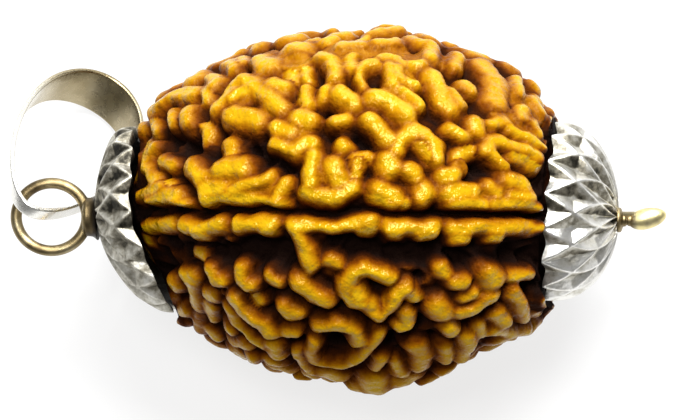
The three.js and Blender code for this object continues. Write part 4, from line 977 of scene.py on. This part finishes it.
def bail_material():
    s = Shader("bail_silver", Metallic=1.0)
    # Painted shade and a painted reflection of the seed towards the top, with noise tarnish in
    # patches.
    top = s.attribute("top")
    patches = s.math("SUBTRACT", s.noise(3.0, 3, 0.5), 0.5)
    tarnish_and_shade = s.math("ADD", top, s.math("MULTIPLY", patches, 0.7), clamp=True)
    colour = s.ramp(tarnish_and_shade, [
        (0.0, (0.96, 0.95, 0.9)), (0.35, (0.85, 0.82, 0.72)), (0.65, (0.55, 0.48, 0.33)),
        (1.0, (0.3, 0.24, 0.13))])
    rough = s.ramp(s.noise(0.6, 4), [(0.3, 0.22), (0.75, 0.36)])
    return s.finish(Base_Color=colour, Roughness=rough, Normal=s.bump(s.noise(0.3, 5, 0.7), 0.03, 0.6))


def floor_material():
    # The floor glows with emission 0.78: painted light that keeps it white where shadows fall and
    # lights the pieces from below; its own colour is dark grey.
    s = Shader("glowing_pale_floor", Roughness=0.9, Specular_IOR_Level=0.1, Emission_Strength=0.78)
    colour = s.ramp(s.noise(60, 3), [(0.3, (0.155, 0.155, 0.154)), (0.7, (0.17, 0.17, 0.169))])
    return s.finish(Base_Color=colour)


# Camera, stage and light

IMAGE_WIDTH = 676
IMAGE_HEIGHT = 420
MM_PER_PIXEL = 0.075
PIN_AXIS_PIXEL = (350, 217)       # where the pin's axis crosses the middle of the seed
VIEW_DISTANCE = 800.0
SENSOR_WIDTH = 36
FLOOR_HALF = 0.6                  # in metres, as all of the stage
WORLD_STRENGTH = 0.2
LIGHT_TARGET = (0, 0, 0.012)


def add_camera():
    right = np.array([math.cos(FACE_TURN), 0, -math.sin(FACE_TURN)])
    up = np.array([0, 1, 0])
    back = np.array([math.sin(FACE_TURN), 0, math.cos(FACE_TURN)])
    across = (IMAGE_WIDTH / 2 - PIN_AXIS_PIXEL[0]) * MM_PER_PIXEL
    above = (PIN_AXIS_PIXEL[1] - IMAGE_HEIGHT / 2) * MM_PER_PIXEL
    place = right * across + up * above + back * VIEW_DISTANCE
    origin, tip_r, tip_u, tip_b, spot = face_to_row([[0, 0, 0], right, up, back, place])
    axes = [(tip - origin) / MM for tip in (tip_r, tip_u, tip_b)]
    camera = bpy.data.objects.new("camera", bpy.data.cameras.new("camera"))
    camera.data.sensor_width = SENSOR_WIDTH
    camera.data.lens = SENSOR_WIDTH * VIEW_DISTANCE / (IMAGE_WIDTH * MM_PER_PIXEL)
    camera.data.clip_start, camera.data.clip_end = 0.05, 5
    matrix = Matrix.Identity(4)
    for column, axis in enumerate(axes):
        for row in range(3):
            matrix[row][column] = axis[row]
    matrix.translation = Vector(spot)
    camera.matrix_world = matrix
    bpy.context.scene.collection.objects.link(camera)
    bpy.context.scene.camera = camera


def add_area(name, place, size, power):
    light = bpy.data.lights.new(name, "AREA")
    light.shape = "RECTANGLE"
    light.size, light.size_y = size
    light.energy = power
    lamp = bpy.data.objects.new(name, light)
    lamp.location = place
    aim = Vector(LIGHT_TARGET) - Vector(place)
    lamp.rotation_euler = aim.to_track_quat("-Z", "Y").to_euler()
    bpy.context.scene.collection.objects.link(lamp)


def add_stage():
    half = FLOOR_HALF
    points = np.array([[-half, -half, 0], [half, -half, 0], [half, half, 0], [-half, half, 0]])
    floor = make_mesh("floor", points, np.array([[0, 1, 2, 3]]), floor_material())
    scene = bpy.context.scene
    world = bpy.data.worlds.new("studio")
    world.use_nodes = True
    background = world.node_tree.nodes["Background"]
    background.inputs["Color"].default_value = (1, 1, 1, 1)
    background.inputs["Strength"].default_value = WORLD_STRENGTH
    scene.world = world
    add_area("key", (0.08, 0.2, 0.4), (0.24, 0.2), 4.4)
    add_area("top", (-0.04, -0.02, 0.45), (0.12, 0.12), 1.0)
    add_area("rim", (0.06, 0.36, 0.14), (0.3, 0.16), 0.7)
    scene.view_settings.view_transform = "Standard"


add_camera()
add_stage()
make_seed(seed_material())
# The eye cap is a darker, rougher copy of the silver: partly tarnish, partly painted shade on the end
# away from the light.
make_cap("cap_eye_end", EYE_CAP, cap_material("cap_silver_dull", 0.38, 0.6), 3)
make_cap("cap_head_end", HEAD_CAP, cap_material("cap_silver", 0.0, 1.0), 8)
make_pin(wire_material())
make_bail(bail_material())
